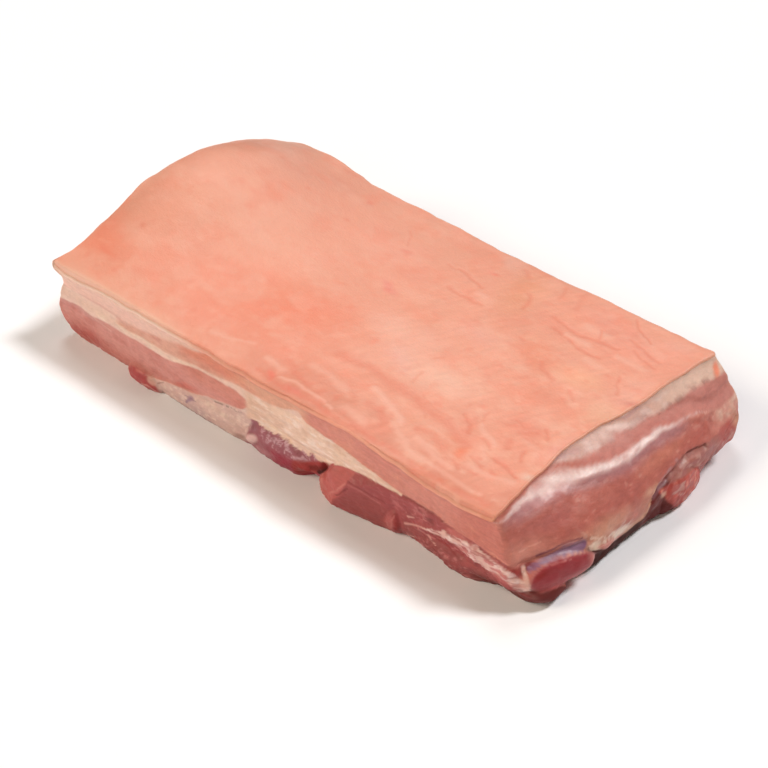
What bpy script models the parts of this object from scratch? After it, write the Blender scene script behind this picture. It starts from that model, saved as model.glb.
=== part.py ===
"""A raw slab of pork belly, boned and trimmed square, lying skin up: one solid, in metres.

The slab is worked out in millimetres in its own frame: x runs along the front skin edge from its left
corner, y runs to the back and z up from the table.  The mesh is moved at the end so that the middle of
the box round it stands over the origin.
"""

import bpy
import numpy as np

# Main sizes, in millimetres.
SKIN_LENGTH = 320.0
SKIN_WIDTH = 178.0
# Corner radii of the skin, and how much more each is at the table: front left, front right, back right, back left.
CORNER_TOP, CORNER_GROWTH = (0.8, 1.5, 2.5, 8.0), (5.0, 16.0, 34.0, 9.0)
FRAME_SHIFT = (-175.8, -88.0)  # from the slab's own frame to the middle of its box

# Mesh density.
LONG_CELLS, SHORT_CELLS = 42, 28
CORNER_SHARE = (0.02, 0.036)  # share of a long and a short side that lies in each corner's curve

# The hump at the left end: centre, reach to the left, to the right and front to back, and height.
HUMP = dict(x=10.0, y=106.0, left=26.0, right=46.0, deep=48.0, high=30.5)
BASE_TOP = 47.5
CROWN = 2.0

# Heights of the skin edge along each side, as (distance along the side, height).
# The sides run front, right end, back and left end; front and back are measured along x, the ends along y.
EDGE_FRONT = ((0, 46), (14, 41.5), (53, 43.5), (136, 44.7), (190, 45.6), (223, 48), (250, 46), (278, 42.5), (300, 42.8), (320, 46))
EDGE_RIGHT = ((0, 46), (10, 48), (41, 48.5), (64, 50.5), (119, 50), (151, 47.8), (178, 46.5))
EDGE_BACK = ((0, 54), (20, 58), (40, 58.5), (60, 55), (80, 51.5), (140, 50), (180, 47.6), (220, 47.3), (290, 47.3), (320, 46.5))
EDGE_LEFT = ((0, 46), (15, 48), (45, 58.5), (75, 70.5), (105, 73), (135, 69.5), (165, 60), (178, 54))

# How far each wall stands out from the skin edge, as (share of the height, distance out), from the table up.
FRONT_WALL = ((0.0, -2.0), (0.07, -0.5), (0.3, 1.0), (0.6, 1.0), (0.84, -1.0), (0.93, -1.0), (1.0, 0.0))
RIGHT_WALL = ((0.0, 24.5), (0.08, 27.0), (0.25, 27.5), (0.43, 26.5), (0.65, 20.0), (0.87, 9.0), (1.0, 0.0))
RIGHT_WALL_CORNER = ((0.0, 18.5), (0.1, 21.0), (0.25, 19.0), (0.43, 15.0), (0.7, 7.8), (0.85, 3.9), (1.0, 0.0))
CORNER_FADE = 52.0  # distance from the front over which the right wall goes from its corner shape to its full one
BACK_FADE, BACK_SLIM = 45.0, 0.10  # near the back it stands out less again: over what distance, and by what share
BACK_WALL = ((0.0, -3.0), (0.15, 0.5), (0.5, 2.5), (0.85, 0.5), (1.0, 0.0))
LEFT_WALL = ((0.0, -8.0), (0.12, -4.0), (0.4, 0.0), (0.58, -2.5), (0.85, -3.5), (1.0, 0.0))

# Bulges of lean and trimmings on the walls: side, centre along it, centre height, half length, half height, reach.
LOBES = (
    (0, 72.0, 0.0, 14.0, 13.0, 7.5),
    (0, 112.0, 0.0, 34.0, 15.0, 3.5),
    (0, 176.0, 2.0, 27.0, 16.0, 4.5),
    (0, 234.0, 6.0, 29.0, 22.0, 6.5),
    (0, 258.0, 6.0, 9.0, 12.0, 4.5),
    (0, 300.0, 12.0, 36.0, 8.0, 2.2),
    (1, 26.0, 9.0, 24.0, 12.0, 5.0),
    (1, 50.0, 27.0, 70.0, 13.0, 3.0),
    (1, 113.0, 0.0, 14.0, 9.0, 8.0),
    (1, 134.0, 2.0, 18.0, 13.0, 6.0),
    (1, 160.0, 14.0, 22.0, 16.0, 3.0),
    (2, 60.0, 8.0, 40.0, 16.0, 4.0),
    (2, 150.0, 6.0, 50.0, 18.0, 3.0),
    (2, 250.0, 10.0, 44.0, 20.0, 4.0),
    (3, 60.0, 10.0, 40.0, 18.0, 4.0),
    (3, 135.0, 12.0, 36.0, 20.0, 3.5),
)
# Seams along a wall: side, (distance, height) of each end and of the middle, half width, reach (in when negative).
SEAMS = (
    (1, ((0, 42), (45, 40), (75, 34), (120, 31), (166, 21)), 3.5, 2.5),
    (1, ((44, 42), (85, 38), (125, 37), (168, 28)), 3.5, -2.5),
    (1, ((10, 18), (45, 16)), 4.0, -2.0),
    (0, ((0, 34), (60, 38), (150, 42)), 4.0, -2.0),
    (0, ((204, 0), (206, 14)), 3.0, -4.0),
    (1, ((62, 0), (94, 0)), 8.0, -8.0),
    (2, ((20, 36), (160, 33), (300, 34)), 3.0, -1.5),
    (3, ((12, 38), (90, 48), (165, 42)), 3.5, -1.5),
)
WALL_ROWS = (0.0, 0.035, 0.085, 0.15, 0.22, 0.3, 0.38, 0.46, 0.54, 0.62, 0.7, 0.78, 0.86, 0.93, 1.0)
INSETS = (0.0, 0.012, 0.035, 0.075)  # shares of a side at which the skin has extra lines near its edge


def curve(knots, at):
    """A smooth curve through (place, value) knots, flat beyond them and never overshooting."""
    x, y = np.array(knots, float).T
    slope = np.diff(y) / np.diff(x)
    lean = np.zeros_like(y)
    same = slope[:-1] * slope[1:] > 0
    lean[1:-1][same] = 2 * slope[:-1][same] * slope[1:][same] / (slope[:-1][same] + slope[1:][same])
    at = np.clip(np.asarray(at, float), x[0], x[-1])
    i = np.clip(np.searchsorted(x, at, side="right") - 1, 0, len(x) - 2)
    h = x[i + 1] - x[i]
    t = (at - x[i]) / h
    return (
        (1 + 2 * t) * (1 - t) ** 2 * y[i]
        + t * (1 - t) ** 2 * h * lean[i]
        + t * t * (3 - 2 * t) * y[i + 1]
        + t * t * (t - 1) * h * lean[i + 1]
    )


def bell(x, reach):
    return np.exp(-0.5 * (x / reach) ** 2)


def ease(x):
    """A smooth step from 0 at 0 to 1 at 1."""
    x = np.clip(x, 0, 1)
    return x * x * (3 - 2 * x)


def skin_field(x, y):
    """Height of the skin away from its edges."""
    side = np.where(x < HUMP["x"], HUMP["left"], HUMP["right"])
    hump = HUMP["high"] * bell(x - HUMP["x"], side) * bell(y - HUMP["y"], HUMP["deep"])
    across = 1 - (2 * y / SKIN_WIDTH - 1) ** 2
    along = 1 - (2 * x / SKIN_LENGTH - 1) ** 4
    return BASE_TOP + hump + CROWN * across * along


def side_share(share, side):
    """Turns a share of a side into (along the side 0-1, turn of the corner in radians from square on)."""
    corner = CORNER_SHARE[side % 2]
    start, end = share < corner, share > 1 - corner
    turn = np.where(start, (share / corner - 1), np.where(end, (share - 1) / corner + 1, 0.0)) * np.pi / 4
    flat = np.clip((share - corner) / (1 - 2 * corner), 0, 1)
    return flat, turn


def ring_point(side, share, low, high, radii):
    """A point on a rounded rectangle from low to high, and the direction square out of it there."""
    flat, turn = side_share(share, side)
    start, end = radii[side][..., None], radii[(side + 1) % 4][..., None]
    angle = (-0.5 + 0.5 * side) * np.pi + turn
    out = np.stack([np.cos(angle), np.sin(angle)], -1)
    along = np.array([(1, 0), (0, 1), (-1, 0), (0, -1)][side], float)
    square = np.array([(0, -1), (1, 0), (0, 1), (-1, 0)][side], float)
    corner_a, corner_b = np.where(along - square > 0, low, high), np.where(along + square > 0, high, low)
    flat = flat[..., None]
    first, last = corner_a + start * (along - square), corner_b - end * (along + square)
    return first * (1 - flat) + last * flat + out * (start * (1 - flat) + end * flat), out


def edge_height(side, share):
    """Height of the skin edge: the table of each side runs along x or y, while shares run round the slab."""
    tables = (EDGE_FRONT, EDGE_RIGHT, EDGE_BACK, EDGE_LEFT)
    length = (SKIN_LENGTH, SKIN_WIDTH)[side % 2]
    return curve(tables[side], length * (share if side < 2 else 1 - share))


def right_reach(y, height):
    """How far the right wall stands out at a place along it: least at the front corner."""
    full = ease(y / CORNER_FADE)
    slim = 1 - BACK_SLIM * ease((y - SKIN_WIDTH) / BACK_FADE + 1)
    return (curve(RIGHT_WALL_CORNER, height) * (1 - full) + curve(RIGHT_WALL, height) * full) * slim


def wall_limits(side, share, height):
    """The rectangle that the four walls make at a share of the height, as this side sees it."""
    y = SKIN_WIDTH * (0.0, share, 1.0, 1.0)[side]
    low = np.stack([-curve(LEFT_WALL, height), -curve(FRONT_WALL, height)], -1)
    high = np.stack([SKIN_LENGTH + right_reach(y, height), SKIN_WIDTH + curve(BACK_WALL, height)], -1)
    return low, high


def side_relief(side, along, z):
    """How far the lobes and seams of one side push its wall out or in."""
    lobes = np.zeros_like(z)
    for where, centre, level, half, tall, reach in LOBES:
        if where == side:
            away = ((along - centre) / half) ** 2 + ((z - level) / tall) ** 2
            lobes = np.maximum(lobes, reach * np.clip(1 - away, 0, None) ** 0.75)
    seams = np.zeros_like(z)
    for where, path, half, reach in SEAMS:
        if where == side:
            first, last = path[0][0], path[-1][0]
            fade = bell(np.clip(first - along, 0, None), 5.0) * bell(np.clip(along - last, 0, None), 5.0)
            seams = seams + reach * fade * bell(z - curve(path, along), half / 1.5)
    return lobes + seams


def wall_relief(flat, out, z):
    """The relief of all four sides, each counted by how squarely the wall faces its way."""
    relief = np.zeros_like(z)
    for side, facing in enumerate(((0, -1), (1, 0), (0, 1), (-1, 0))):
        weight = np.clip(out @ np.array(facing, float), 0, None) ** 2
        relief = relief + weight * side_relief(side, flat[..., side % 2], z)
    return relief


def wall_point(side, share, drop):
    """A point of the wall: drop runs from 0 at the skin edge to 1 at the table."""
    z = edge_height(side, share) * (1 - drop)
    low, high = wall_limits(side, share, 1 - drop)
    radii = [top + growth * drop**2 for top, growth in zip(CORNER_TOP, CORNER_GROWTH)]
    flat, out = ring_point(side, share, low, high, radii)
    reach = wall_relief(flat, out, z) * np.clip(drop / 0.1, 0, 1)
    return np.concatenate([flat + out * reach[..., None], z[..., None]], -1)


def boundary_shares(cells):
    """Shares of a side: fine inside the corners and at the insets, then even."""
    near = list(INSETS)
    return np.array(near + list(np.linspace(near[-1], 1 - near[-1], cells - 2 * len(near) + 3)[1:-1]) + [1 - s for s in near[::-1]])


def coons(front, right, back, left):
    """The grid that four boundary lines span; back and left run the same way as front and right."""
    u = boundary_shares(len(front) - 1)[:, None, None]
    v = boundary_shares(len(right) - 1)[None, :, None]
    ruled = (1 - v) * front[:, None] + v * back[:, None] + (1 - u) * left[None] + u * right[None]
    corners = (1 - u) * (1 - v) * front[0] + u * (1 - v) * front[-1] + u * v * back[-1] + (1 - u) * v * back[0]
    return ruled - corners


def edge_blend(u, v, gap_front, gap_right, gap_back, gap_left, reach):
    """Spreads height gaps known along the four edges inwards, dying away over the reach."""
    near_front, near_back = np.exp(-v * SKIN_WIDTH / reach), np.exp(-(1 - v) * SKIN_WIDTH / reach)
    near_left, near_right = np.exp(-u * SKIN_LENGTH / reach), np.exp(-(1 - u) * SKIN_LENGTH / reach)
    spread = gap_front[:, None] * near_front + gap_back[:, None] * near_back
    spread = spread + gap_left[None] * near_left + gap_right[None] * near_right
    corners = gap_front[0] * near_front * near_left + gap_front[-1] * near_front * near_right
    corners = corners + gap_back[0] * near_back * near_left + gap_back[-1] * near_back * near_right
    return spread - corners


def skin_grid(edges):
    """The skin from its four edges: the field's height, drawn down to the edges."""
    front, right, back, left = edges
    grid = coons(front, right, back, left)
    u = boundary_shares(len(front) - 1)[:, None]
    v = boundary_shares(len(right) - 1)[None, :]
    gaps = [edge[:, 2] - skin_field(edge[:, 0], edge[:, 1]) for edge in edges]
    grid[..., 2] = skin_field(grid[..., 0], grid[..., 1]) + edge_blend(u, v, *gaps, 11.0)
    return grid


def seat_grid(edges):
    """The underside: flat on the table."""
    grid = coons(*edges)
    grid[..., 2] = 0.0
    return grid


def slab_mesh():
    """Points and faces of the closed slab."""
    shares = (boundary_shares(LONG_CELLS), boundary_shares(SHORT_CELLS))
    drops = np.array(WALL_ROWS)
    wall = []
    for side in range(4):
        across = shares[side % 2][:-1]
        wall.append(wall_point(side, *np.broadcast_arrays(across[:, None], drops[None])))
    wall = np.concatenate(wall)
    n, m = LONG_CELLS, SHORT_CELLS
    count, rows = 2 * (n + m), len(drops)
    points = [wall.reshape(-1, 3)]
    faces = []
    index = np.arange(count * rows).reshape(count, rows)
    after = np.roll(index, -1, axis=0)
    for row in range(rows - 1):
        faces.append(np.stack([index[:, row], index[:, row + 1], after[:, row + 1], after[:, row]], -1))

    def cap(row, make, flip, first):
        ring = index[:, row]
        line = np.concatenate([ring, ring[:1]])
        front, right = line[: n + 1], line[n : n + m + 1]
        back, left = line[n + m : 2 * n + m + 1][::-1], line[2 * n + m :][::-1]
        flat = wall.reshape(-1, 3)
        grid = make([flat[side] for side in (front, right, back, left)])
        at = np.full((n + 1, m + 1), -1)
        at[:, 0], at[:, -1], at[0], at[-1] = front, back, left, right
        at[1:-1, 1:-1] = first + np.arange((n - 1) * (m - 1)).reshape(n - 1, m - 1)
        points.append(grid[1:-1, 1:-1].reshape(-1, 3))
        quads = np.stack([at[:-1, :-1], at[1:, :-1], at[1:, 1:], at[:-1, 1:]], -1).reshape(-1, 4)
        faces.append(quads[:, ::-1] if flip else quads)

    cap(0, skin_grid, False, count * rows)
    cap(rows - 1, seat_grid, True, count * rows + (n - 1) * (m - 1))
    return np.concatenate(points), np.concatenate(faces)


def clear_scene():
    for thing in list(bpy.data.objects):
        bpy.data.objects.remove(thing, do_unlink=True)


def raw_pork():
    material = bpy.data.materials.new("pork")
    material.use_nodes = True
    shader = material.node_tree.nodes["Principled BSDF"]
    shader.inputs["Base Color"].default_value = (0.83, 0.42, 0.30, 1.0)
    shader.inputs["Roughness"].default_value = 0.45
    return material


def main():
    clear_scene()
    points, faces = slab_mesh()
    points = (points + np.array([*FRAME_SHIFT, 0.0])) / 1000.0
    mesh = bpy.data.meshes.new("belly_slab")
    mesh.from_pydata(points.tolist(), [], faces.tolist())
    mesh.validate()
    mesh.polygons.foreach_set("use_smooth", [True] * len(mesh.polygons))
    mesh.materials.append(raw_pork())
    slab = bpy.data.objects.new("belly_slab", mesh)
    bpy.context.scene.collection.objects.link(slab)


main()
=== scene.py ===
"""Looks of a raw slab of pork belly: skin, layered walls with their trimmings, table, light and camera.

Shapes are worked out in millimetres in the slab's own frame, as the solid is: x along the front skin
edge from its left corner, y to the back, z up from the table.
"""

import bpy
import numpy as np
from mathutils import Matrix, Vector


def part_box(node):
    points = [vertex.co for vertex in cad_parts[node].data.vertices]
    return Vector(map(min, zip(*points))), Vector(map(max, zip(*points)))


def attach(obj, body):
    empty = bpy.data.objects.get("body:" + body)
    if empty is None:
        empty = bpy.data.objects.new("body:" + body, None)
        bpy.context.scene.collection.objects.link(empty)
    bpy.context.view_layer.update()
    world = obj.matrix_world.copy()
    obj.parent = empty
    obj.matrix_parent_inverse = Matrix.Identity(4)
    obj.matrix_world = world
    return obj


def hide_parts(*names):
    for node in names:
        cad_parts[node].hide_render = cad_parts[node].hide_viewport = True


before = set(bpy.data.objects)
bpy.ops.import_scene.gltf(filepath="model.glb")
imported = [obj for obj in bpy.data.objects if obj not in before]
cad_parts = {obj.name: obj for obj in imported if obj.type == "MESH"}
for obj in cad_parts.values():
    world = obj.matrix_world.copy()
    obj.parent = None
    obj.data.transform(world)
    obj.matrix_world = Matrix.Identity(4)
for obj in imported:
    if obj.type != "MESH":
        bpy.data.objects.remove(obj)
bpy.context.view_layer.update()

# ---------------------------------------------------------------- sizes shared with the solid

SKIN_LENGTH = 320.0
SKIN_WIDTH = 178.0
SOLID_LOW = (-2.36, -6.98)  # where the solid's low corner lies in the slab's own frame
CORNER_TOP, CORNER_GROWTH = (0.8, 1.5, 2.5, 8.0), (5.0, 16.0, 34.0, 9.0)
CORNER_SHARE = (0.02, 0.036)
HUMP = dict(x=10.0, y=106.0, left=26.0, right=46.0, deep=48.0, high=30.5)
BASE_TOP = 47.5
CROWN = 2.0

EDGE_FRONT = ((0, 46), (14, 41.5), (53, 43.5), (136, 44.7), (190, 45.6), (223, 48), (250, 46), (278, 42.5), (300, 42.8), (320, 46))
EDGE_RIGHT = ((0, 46), (10, 48), (41, 48.5), (64, 50.5), (119, 50), (151, 47.8), (178, 46.5))
EDGE_BACK = ((0, 54), (20, 58), (40, 58.5), (60, 55), (80, 51.5), (140, 50), (180, 47.6), (220, 47.3), (290, 47.3), (320, 46.5))
EDGE_LEFT = ((0, 46), (15, 48), (45, 58.5), (75, 70.5), (105, 73), (135, 69.5), (165, 60), (178, 54))

FRONT_WALL = ((0.0, -2.0), (0.07, -0.5), (0.3, 1.0), (0.6, 1.0), (0.84, -1.0), (0.93, -1.0), (1.0, 0.0))
RIGHT_WALL = ((0.0, 24.5), (0.08, 27.0), (0.25, 27.5), (0.43, 26.5), (0.65, 20.0), (0.87, 9.0), (1.0, 0.0))
RIGHT_WALL_CORNER = ((0.0, 18.5), (0.1, 21.0), (0.25, 19.0), (0.43, 15.0), (0.7, 7.8), (0.85, 3.9), (1.0, 0.0))
CORNER_FADE = 52.0
BACK_FADE, BACK_SLIM = 45.0, 0.10
BACK_WALL = ((0.0, -3.0), (0.15, 0.5), (0.5, 2.5), (0.85, 0.5), (1.0, 0.0))
LEFT_WALL = ((0.0, -8.0), (0.12, -4.0), (0.4, 0.0), (0.58, -2.5), (0.85, -3.5), (1.0, 0.0))

# ---------------------------------------------------------------- sizes of the fine surface

SKIN_CELLS = (392, 218)
WALL_CELLS = (480, 280, 200, 120)
WALL_ROWS = 84
SKIN_GAIN = (0.87, 0.92, 0.955)  # the top gets more light than a colour card would want
RIND = 1.7  # thickness of the rind
LIP_ROUND = 1.2
START = 1.1  # how far under the skin's edge the flesh begins, inside the rind
TUCK = 0.3  # how far inside the rind's edge it begins


# ---------------------------------------------------------------- small mathematics


def curve(knots, at):
    """A smooth curve through (place, value) knots, flat beyond them and never overshooting."""
    x, y = np.array(knots, float).T
    slope = np.diff(y) / np.diff(x)
    lean = np.zeros_like(y)
    same = slope[:-1] * slope[1:] > 0
    lean[1:-1][same] = 2 * slope[:-1][same] * slope[1:][same] / (slope[:-1][same] + slope[1:][same])
    at = np.clip(np.asarray(at, float), x[0], x[-1])
    i = np.clip(np.searchsorted(x, at, side="right") - 1, 0, len(x) - 2)
    h = x[i + 1] - x[i]
    t = (at - x[i]) / h
    return (
        (1 + 2 * t) * (1 - t) ** 2 * y[i]
        + t * (1 - t) ** 2 * h * lean[i]
        + t * t * (3 - 2 * t) * y[i + 1]
        + t * t * (t - 1) * h * lean[i + 1]
    )


def ease(x):
    """A smooth step from 0 at 0 to 1 at 1."""
    x = np.clip(x, 0, 1)
    return x * x * (3 - 2 * x)


def bell(x, reach):
    return np.exp(-0.5 * (x / reach) ** 2)


def lattice(cell, seed):
    """A repeatable value from -1 to 1 for each whole-numbered place."""
    mask = np.int64(0xFFFFFFFF)
    h = (cell[..., 0] * 374761393 + cell[..., 1] * 668265263 + cell[..., 2] * 974634777 + seed * 362437) & mask
    h = ((h ^ (h >> 13)) * 1274126177) & mask
    h = ((h ^ (h >> 15)) * 461845907) & mask
    return ((h ^ (h >> 16)) & 0xFFFF) / 32767.5 - 1.0


def noise(place, size, seed=0):
    """Smooth noise from -1 to 1 whose blobs are about this size; a size may differ along each axis."""
    place = place / np.asarray(size, float)
    cell = np.floor(place).astype(np.int64)
    f = place - cell
    f = f * f * f * (f * (f * 6 - 15) + 10)
    total = 0.0
    for corner in range(8):
        step = np.array([corner & 1, corner >> 1 & 1, corner >> 2 & 1])
        weight = np.prod(np.where(step, f, 1 - f), axis=-1)
        total = total + weight * lattice(cell + step, seed)
    return total


def layered(place, size, octaves=3, seed=0, rough=0.5):
    """Noise with finer and fainter copies of itself on top, from about -1 to 1."""
    size = np.asarray(size, float)
    total, weight, whole = 0.0, 1.0, 0.0
    for octave in range(octaves):
        total = total + weight * noise(place, size / 2**octave, seed + 17 * octave)
        whole += weight
        weight *= rough
    return 1.5 * total / whole


def creased(place, size, octaves=3, seed=0):
    """Thin lines where noise crosses zero: 1 on a line, falling to 0 between lines."""
    return np.clip(1 - np.abs(layered(place, size, octaves, seed)) * 3.0, 0, 1)


def linear(colour):
    """A screen colour (0-255 each) as the linear values a shader works in."""
    c = np.asarray(colour, float) / 255.0
    return np.where(c <= 0.04045, c / 12.92, ((c + 0.055) / 1.055) ** 2.4)


class Paint:
    """Colour and wetness laid on a set of points, one coat over another."""

    def __init__(self, shape, colour, wet=0.3):
        self.rgb = np.broadcast_to(linear(colour), (*shape, 3)).copy()
        self.wet = np.full(shape, float(wet))

    def lay(self, colour, mask, wet=None):
        mask = np.clip(mask, 0, 1)
        self.rgb += (linear(colour) - self.rgb) * mask[..., None]
        if wet is not None:
            self.wet += (wet - self.wet) * mask

    def shade(self, factor):
        """Lightens or darkens: factor is 1 for no change."""
        self.rgb *= np.clip(factor, 0, None)[..., None]

    def blend(self, other, weight):
        self.rgb += (other.rgb - self.rgb) * weight[..., None]
        self.wet += (other.wet - self.wet) * weight


def spot(a, z, centre_a, centre_z, half_a, half_z, soft=1.0, turn=0.0):
    """An oval: 0 at its rim, rising to 1 over the soft share of its radius."""
    c, s = np.cos(np.radians(turn)), np.sin(np.radians(turn))
    u = ((a - centre_a) * c + (z - centre_z) * s) / half_a
    v = ((z - centre_z) * c - (a - centre_a) * s) / half_z
    return ease((1 - np.hypot(u, v)) / soft)


def between(z, low, high, soft=0.6):
    """1 between two heights, with a soft edge."""
    return ease((z - low) / soft + 0.5) * ease((high - z) / soft + 0.5)


def span(a, start, end, soft=4.0):
    """1 between two places along a wall, with soft ends."""
    return ease((a - start) / soft + 0.5) * ease((end - a) / soft + 0.5)


def streak(a, z, points, half, soft=1.0):
    """A line along a path of points; half is its half width, or one at each end."""
    points = np.array(points, float)
    first, last = np.broadcast_to(np.asarray(half, float), (2,))
    nearest = np.full(np.shape(a), np.inf)
    count = len(points) - 1
    for i in range(count):
        (x0, z0), (x1, z1) = points[i], points[i + 1]
        dx, dz = x1 - x0, z1 - z0
        t = np.clip(((a - x0) * dx + (z - z0) * dz) / (dx * dx + dz * dz), 0, 1)
        width = first + (last - first) * (i + t) / count
        nearest = np.minimum(nearest, np.hypot(a - x0 - t * dx, z - z0 - t * dz) / width)
    return ease((1.3 - nearest) / soft)


# ---------------------------------------------------------------- the slab's walls


def side_share(share, side):
    corner = CORNER_SHARE[side % 2]
    start, end = share < corner, share > 1 - corner
    turn = np.where(start, (share / corner - 1), np.where(end, (share - 1) / corner + 1, 0.0)) * np.pi / 4
    flat = np.clip((share - corner) / (1 - 2 * corner), 0, 1)
    return flat, turn


def ring_point(side, share, low, high, radii):
    """A point on a rounded rectangle from low to high, and the direction square out of it there."""
    flat, turn = side_share(share, side)
    start, end = radii[side][..., None], radii[(side + 1) % 4][..., None]
    angle = (-0.5 + 0.5 * side) * np.pi + turn
    out = np.stack([np.cos(angle), np.sin(angle)], -1)
    along = np.array([(1, 0), (0, 1), (-1, 0), (0, -1)][side], float)
    square = np.array([(0, -1), (1, 0), (0, 1), (-1, 0)][side], float)
    corner_a, corner_b = np.where(along - square > 0, low, high), np.where(along + square > 0, high, low)
    flat = flat[..., None]
    first, last = corner_a + start * (along - square), corner_b - end * (along + square)
    return first * (1 - flat) + last * flat + out * (start * (1 - flat) + end * flat), out


def edge_height(side, share):
    tables = (EDGE_FRONT, EDGE_RIGHT, EDGE_BACK, EDGE_LEFT)
    length = (SKIN_LENGTH, SKIN_WIDTH)[side % 2]
    return curve(tables[side], length * (share if side < 2 else 1 - share))


def right_reach(y, height):
    full = ease(y / CORNER_FADE)
    slim = 1 - BACK_SLIM * ease((y - SKIN_WIDTH) / BACK_FADE + 1)
    return (curve(RIGHT_WALL_CORNER, height) * (1 - full) + curve(RIGHT_WALL, height) * full) * slim


def wall_limits(side, share, height):
    y = SKIN_WIDTH * (0.0, share, 1.0, 1.0)[side]
    low = np.stack([-curve(LEFT_WALL, height), -curve(FRONT_WALL, height)], -1)
    high = np.stack([SKIN_LENGTH + right_reach(y, height), SKIN_WIDTH + curve(BACK_WALL, height)], -1)
    return low, high


def lobe(a, z, centre_a, centre_z, half_a, half_z, reach, flatness=2.0, turn=0.0):
    """A bulge with a creased rim; a higher flatness gives it a flatter top and steeper sides."""
    c, s = np.cos(np.radians(turn)), np.sin(np.radians(turn))
    u = ((a - centre_a) * c + (z - centre_z) * s) / half_a
    v = ((z - centre_z) * c - (a - centre_a) * s) / half_z
    away = np.clip(np.hypot(u, v), 0, 1)
    return reach * np.sqrt(1 - away**flatness)


def most(*heights):
    total = heights[0]
    for height in heights[1:]:
        total = np.maximum(total, height)
    return total


def front_chunk(x, z):
    """The big trimming low on the front: a cut piece of lean whose flat faces meet in ridges."""
    tip = 2.4 * (x - 208.5 - np.where(z > 9, 0.75, 0.42) * np.abs(z - 9.0))
    left = 7.2 + 0.34 * (x - 223 - 0.5 * (z - 8))
    face = 6.6 - 0.21 * (x - 229) - 0.03 * (z - 6)
    top = 5.6 - 0.62 * (z - 19.0 - 0.12 * (x - 232))
    foot = 2.6 * z + 3.2
    flat = np.minimum(np.minimum(np.minimum(left, face), np.minimum(top, tip)), foot)
    return np.clip(flat, 0, None) * ease((268 - x) / 10)


def front_relief(x, z, place):
    """How far the front wall's layers and trimmings stand out."""
    left = ease((170 - x) / 60)
    layers = 0.9 * left * bell(z - 14, 9) - 0.6 * left * bell(z - 36, 3.0) + 0.5 * left * bell(z - 27, 1.6)
    seam = curve(((150, 24), (200, 21), (262, 29.5), (288, 29), (300, 27), (320, 25), (336, 23)), x)
    layers = layers - 1.0 * bell(z - seam, 1.3) * ease((x - 150) / 20)
    lobes = most(
        lobe(x, z, 75, 2.5, 14.5, 9.0, 6.4, 2.4, -10),
        lobe(x, z, 116, 0, 44, 15, 3.0, 2.6),
        lobe(x, z, 178, 5, 25, 16, 3.4, 2.6),
        lobe(x, z, 161, 8.5, 6.5, 4.6, 4.2, 2.0, 38),
        front_chunk(x, z),
        lobe(x, z, 259.0, 8, 4.5, 8.5, 2.8, 2.0, -6),
        lobe(x, z, 298, 5, 26, 9, 2.0, 2.5),
    )
    ribbon = curve(((272, 16), (290, 21), (310, 21.4), (320, 20), (336, 18)), x)
    strand = 1.7 * bell(z - ribbon, curve(((272, 1.2), (300, 3.0), (320, 4.0)), x)) * span(x, 276, 348, 6)
    hollow = -7.0 * ease((x - 190) / 10) * ease((211 - x) / 4) * ease((9 - z) / 6)
    hollow = hollow - 4.0 * spot(x, z, 213, 16, 5, 3.4, 0.8, -30)
    under = -6.0 * ease((x - 300) / 22) * ease((11 - z) / 8)
    under = under - 2.0 * span(x, 262, 292, 8) * ease((6 - z) / 5)
    rough = 0.34 * layered(place, 5, 2, 5) + 0.2 * layered(place, 1.8, 2, 9)
    ragged = 1 + 0.8 * ease((x - 250) / 30) * ease((28 - z) / 4)
    low = 1 - 0.45 * ease((z - 16) / 14) * (x < 180)
    return layers + lobes + strand + hollow + under + rough * low * ragged


def end_arch(y, z):
    """The two hollows under the cut end, where the table shows between the parts that touch it."""
    near = curve(((20, 5), (27, 7.0), (38, 10), (44, 13.5), (52, 11.8), (62, 11), (78, 10.5), (88, 8.5), (97, 2)), y)
    far = curve(((130, 2), (137, 11), (146, 13), (160, 13.5), (176, 14)), y)
    first = ease((near - z) / 3.0) * ease((y - 21) / 5) * ease((97 - y) / 5)
    second = ease((far - z) / 3.0) * ease((y - 132) / 6)
    return first, second


def end_relief(y, z, place):
    """How far the cut end's seams, bulges and trimmings stand out."""
    ridge_z = curve(((-4, 43.6), (10, 44.0), (22, 45), (40, 44.2), (52, 43.6), (62, 42), (72, 40.4), (84, 39.2), (110, 39.4),
                     (122, 38), (132, 37), (142, 35), (150, 32), (160, 30)), y)
    ridge = 2.0 * bell(z - ridge_z - 0.7, 1.7) * ease((158 - y) / 30)
    valley = -1.8 * bell(z - ridge_z - 4.0, 1.6) * ease((y - 40) / 30)
    bulge = 1.8 * bell(z - 26, 7) * span(y, 20, 150, 40)
    lobes = most(
        lobe(y, z, 22.5, 14.0, 20.5, 7.8, 4.6, 2.6, -3),
        lobe(y, z, 116, 5, 19, 15, 3.4, 2.3, -38),
        lobe(y, z, 150, 19, 30, 8, 1.8, 2.2, -6),
        lobe(y, z, 50, 15, 9, 3, 1.6, 2.2, -14),
        lobe(y, z, 13, 1, 15, 10, 6.0, 2.4),
    )
    first, second = end_arch(y, z)
    cut = -2.0 * bell(z - 22.8, 1.2) * span(y, 2, 40, 6)
    groove = -2.2 * streak(y, z, ((88, 18), (93, 22), (104, 24), (118, 26), (134, 25)), (2.6, 1.2))
    groove = groove - 1.5 * streak(y, z, ((152, 20), (160, 22), (168, 22)), 1.2)
    rough = 0.42 * layered(place, 7, 2, 25) + 0.2 * layered(place, 3.4, 1, 29)
    return ridge + valley + bulge + lobes + cut + groove + rough - 1.2 * first - 4.5 * second


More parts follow.
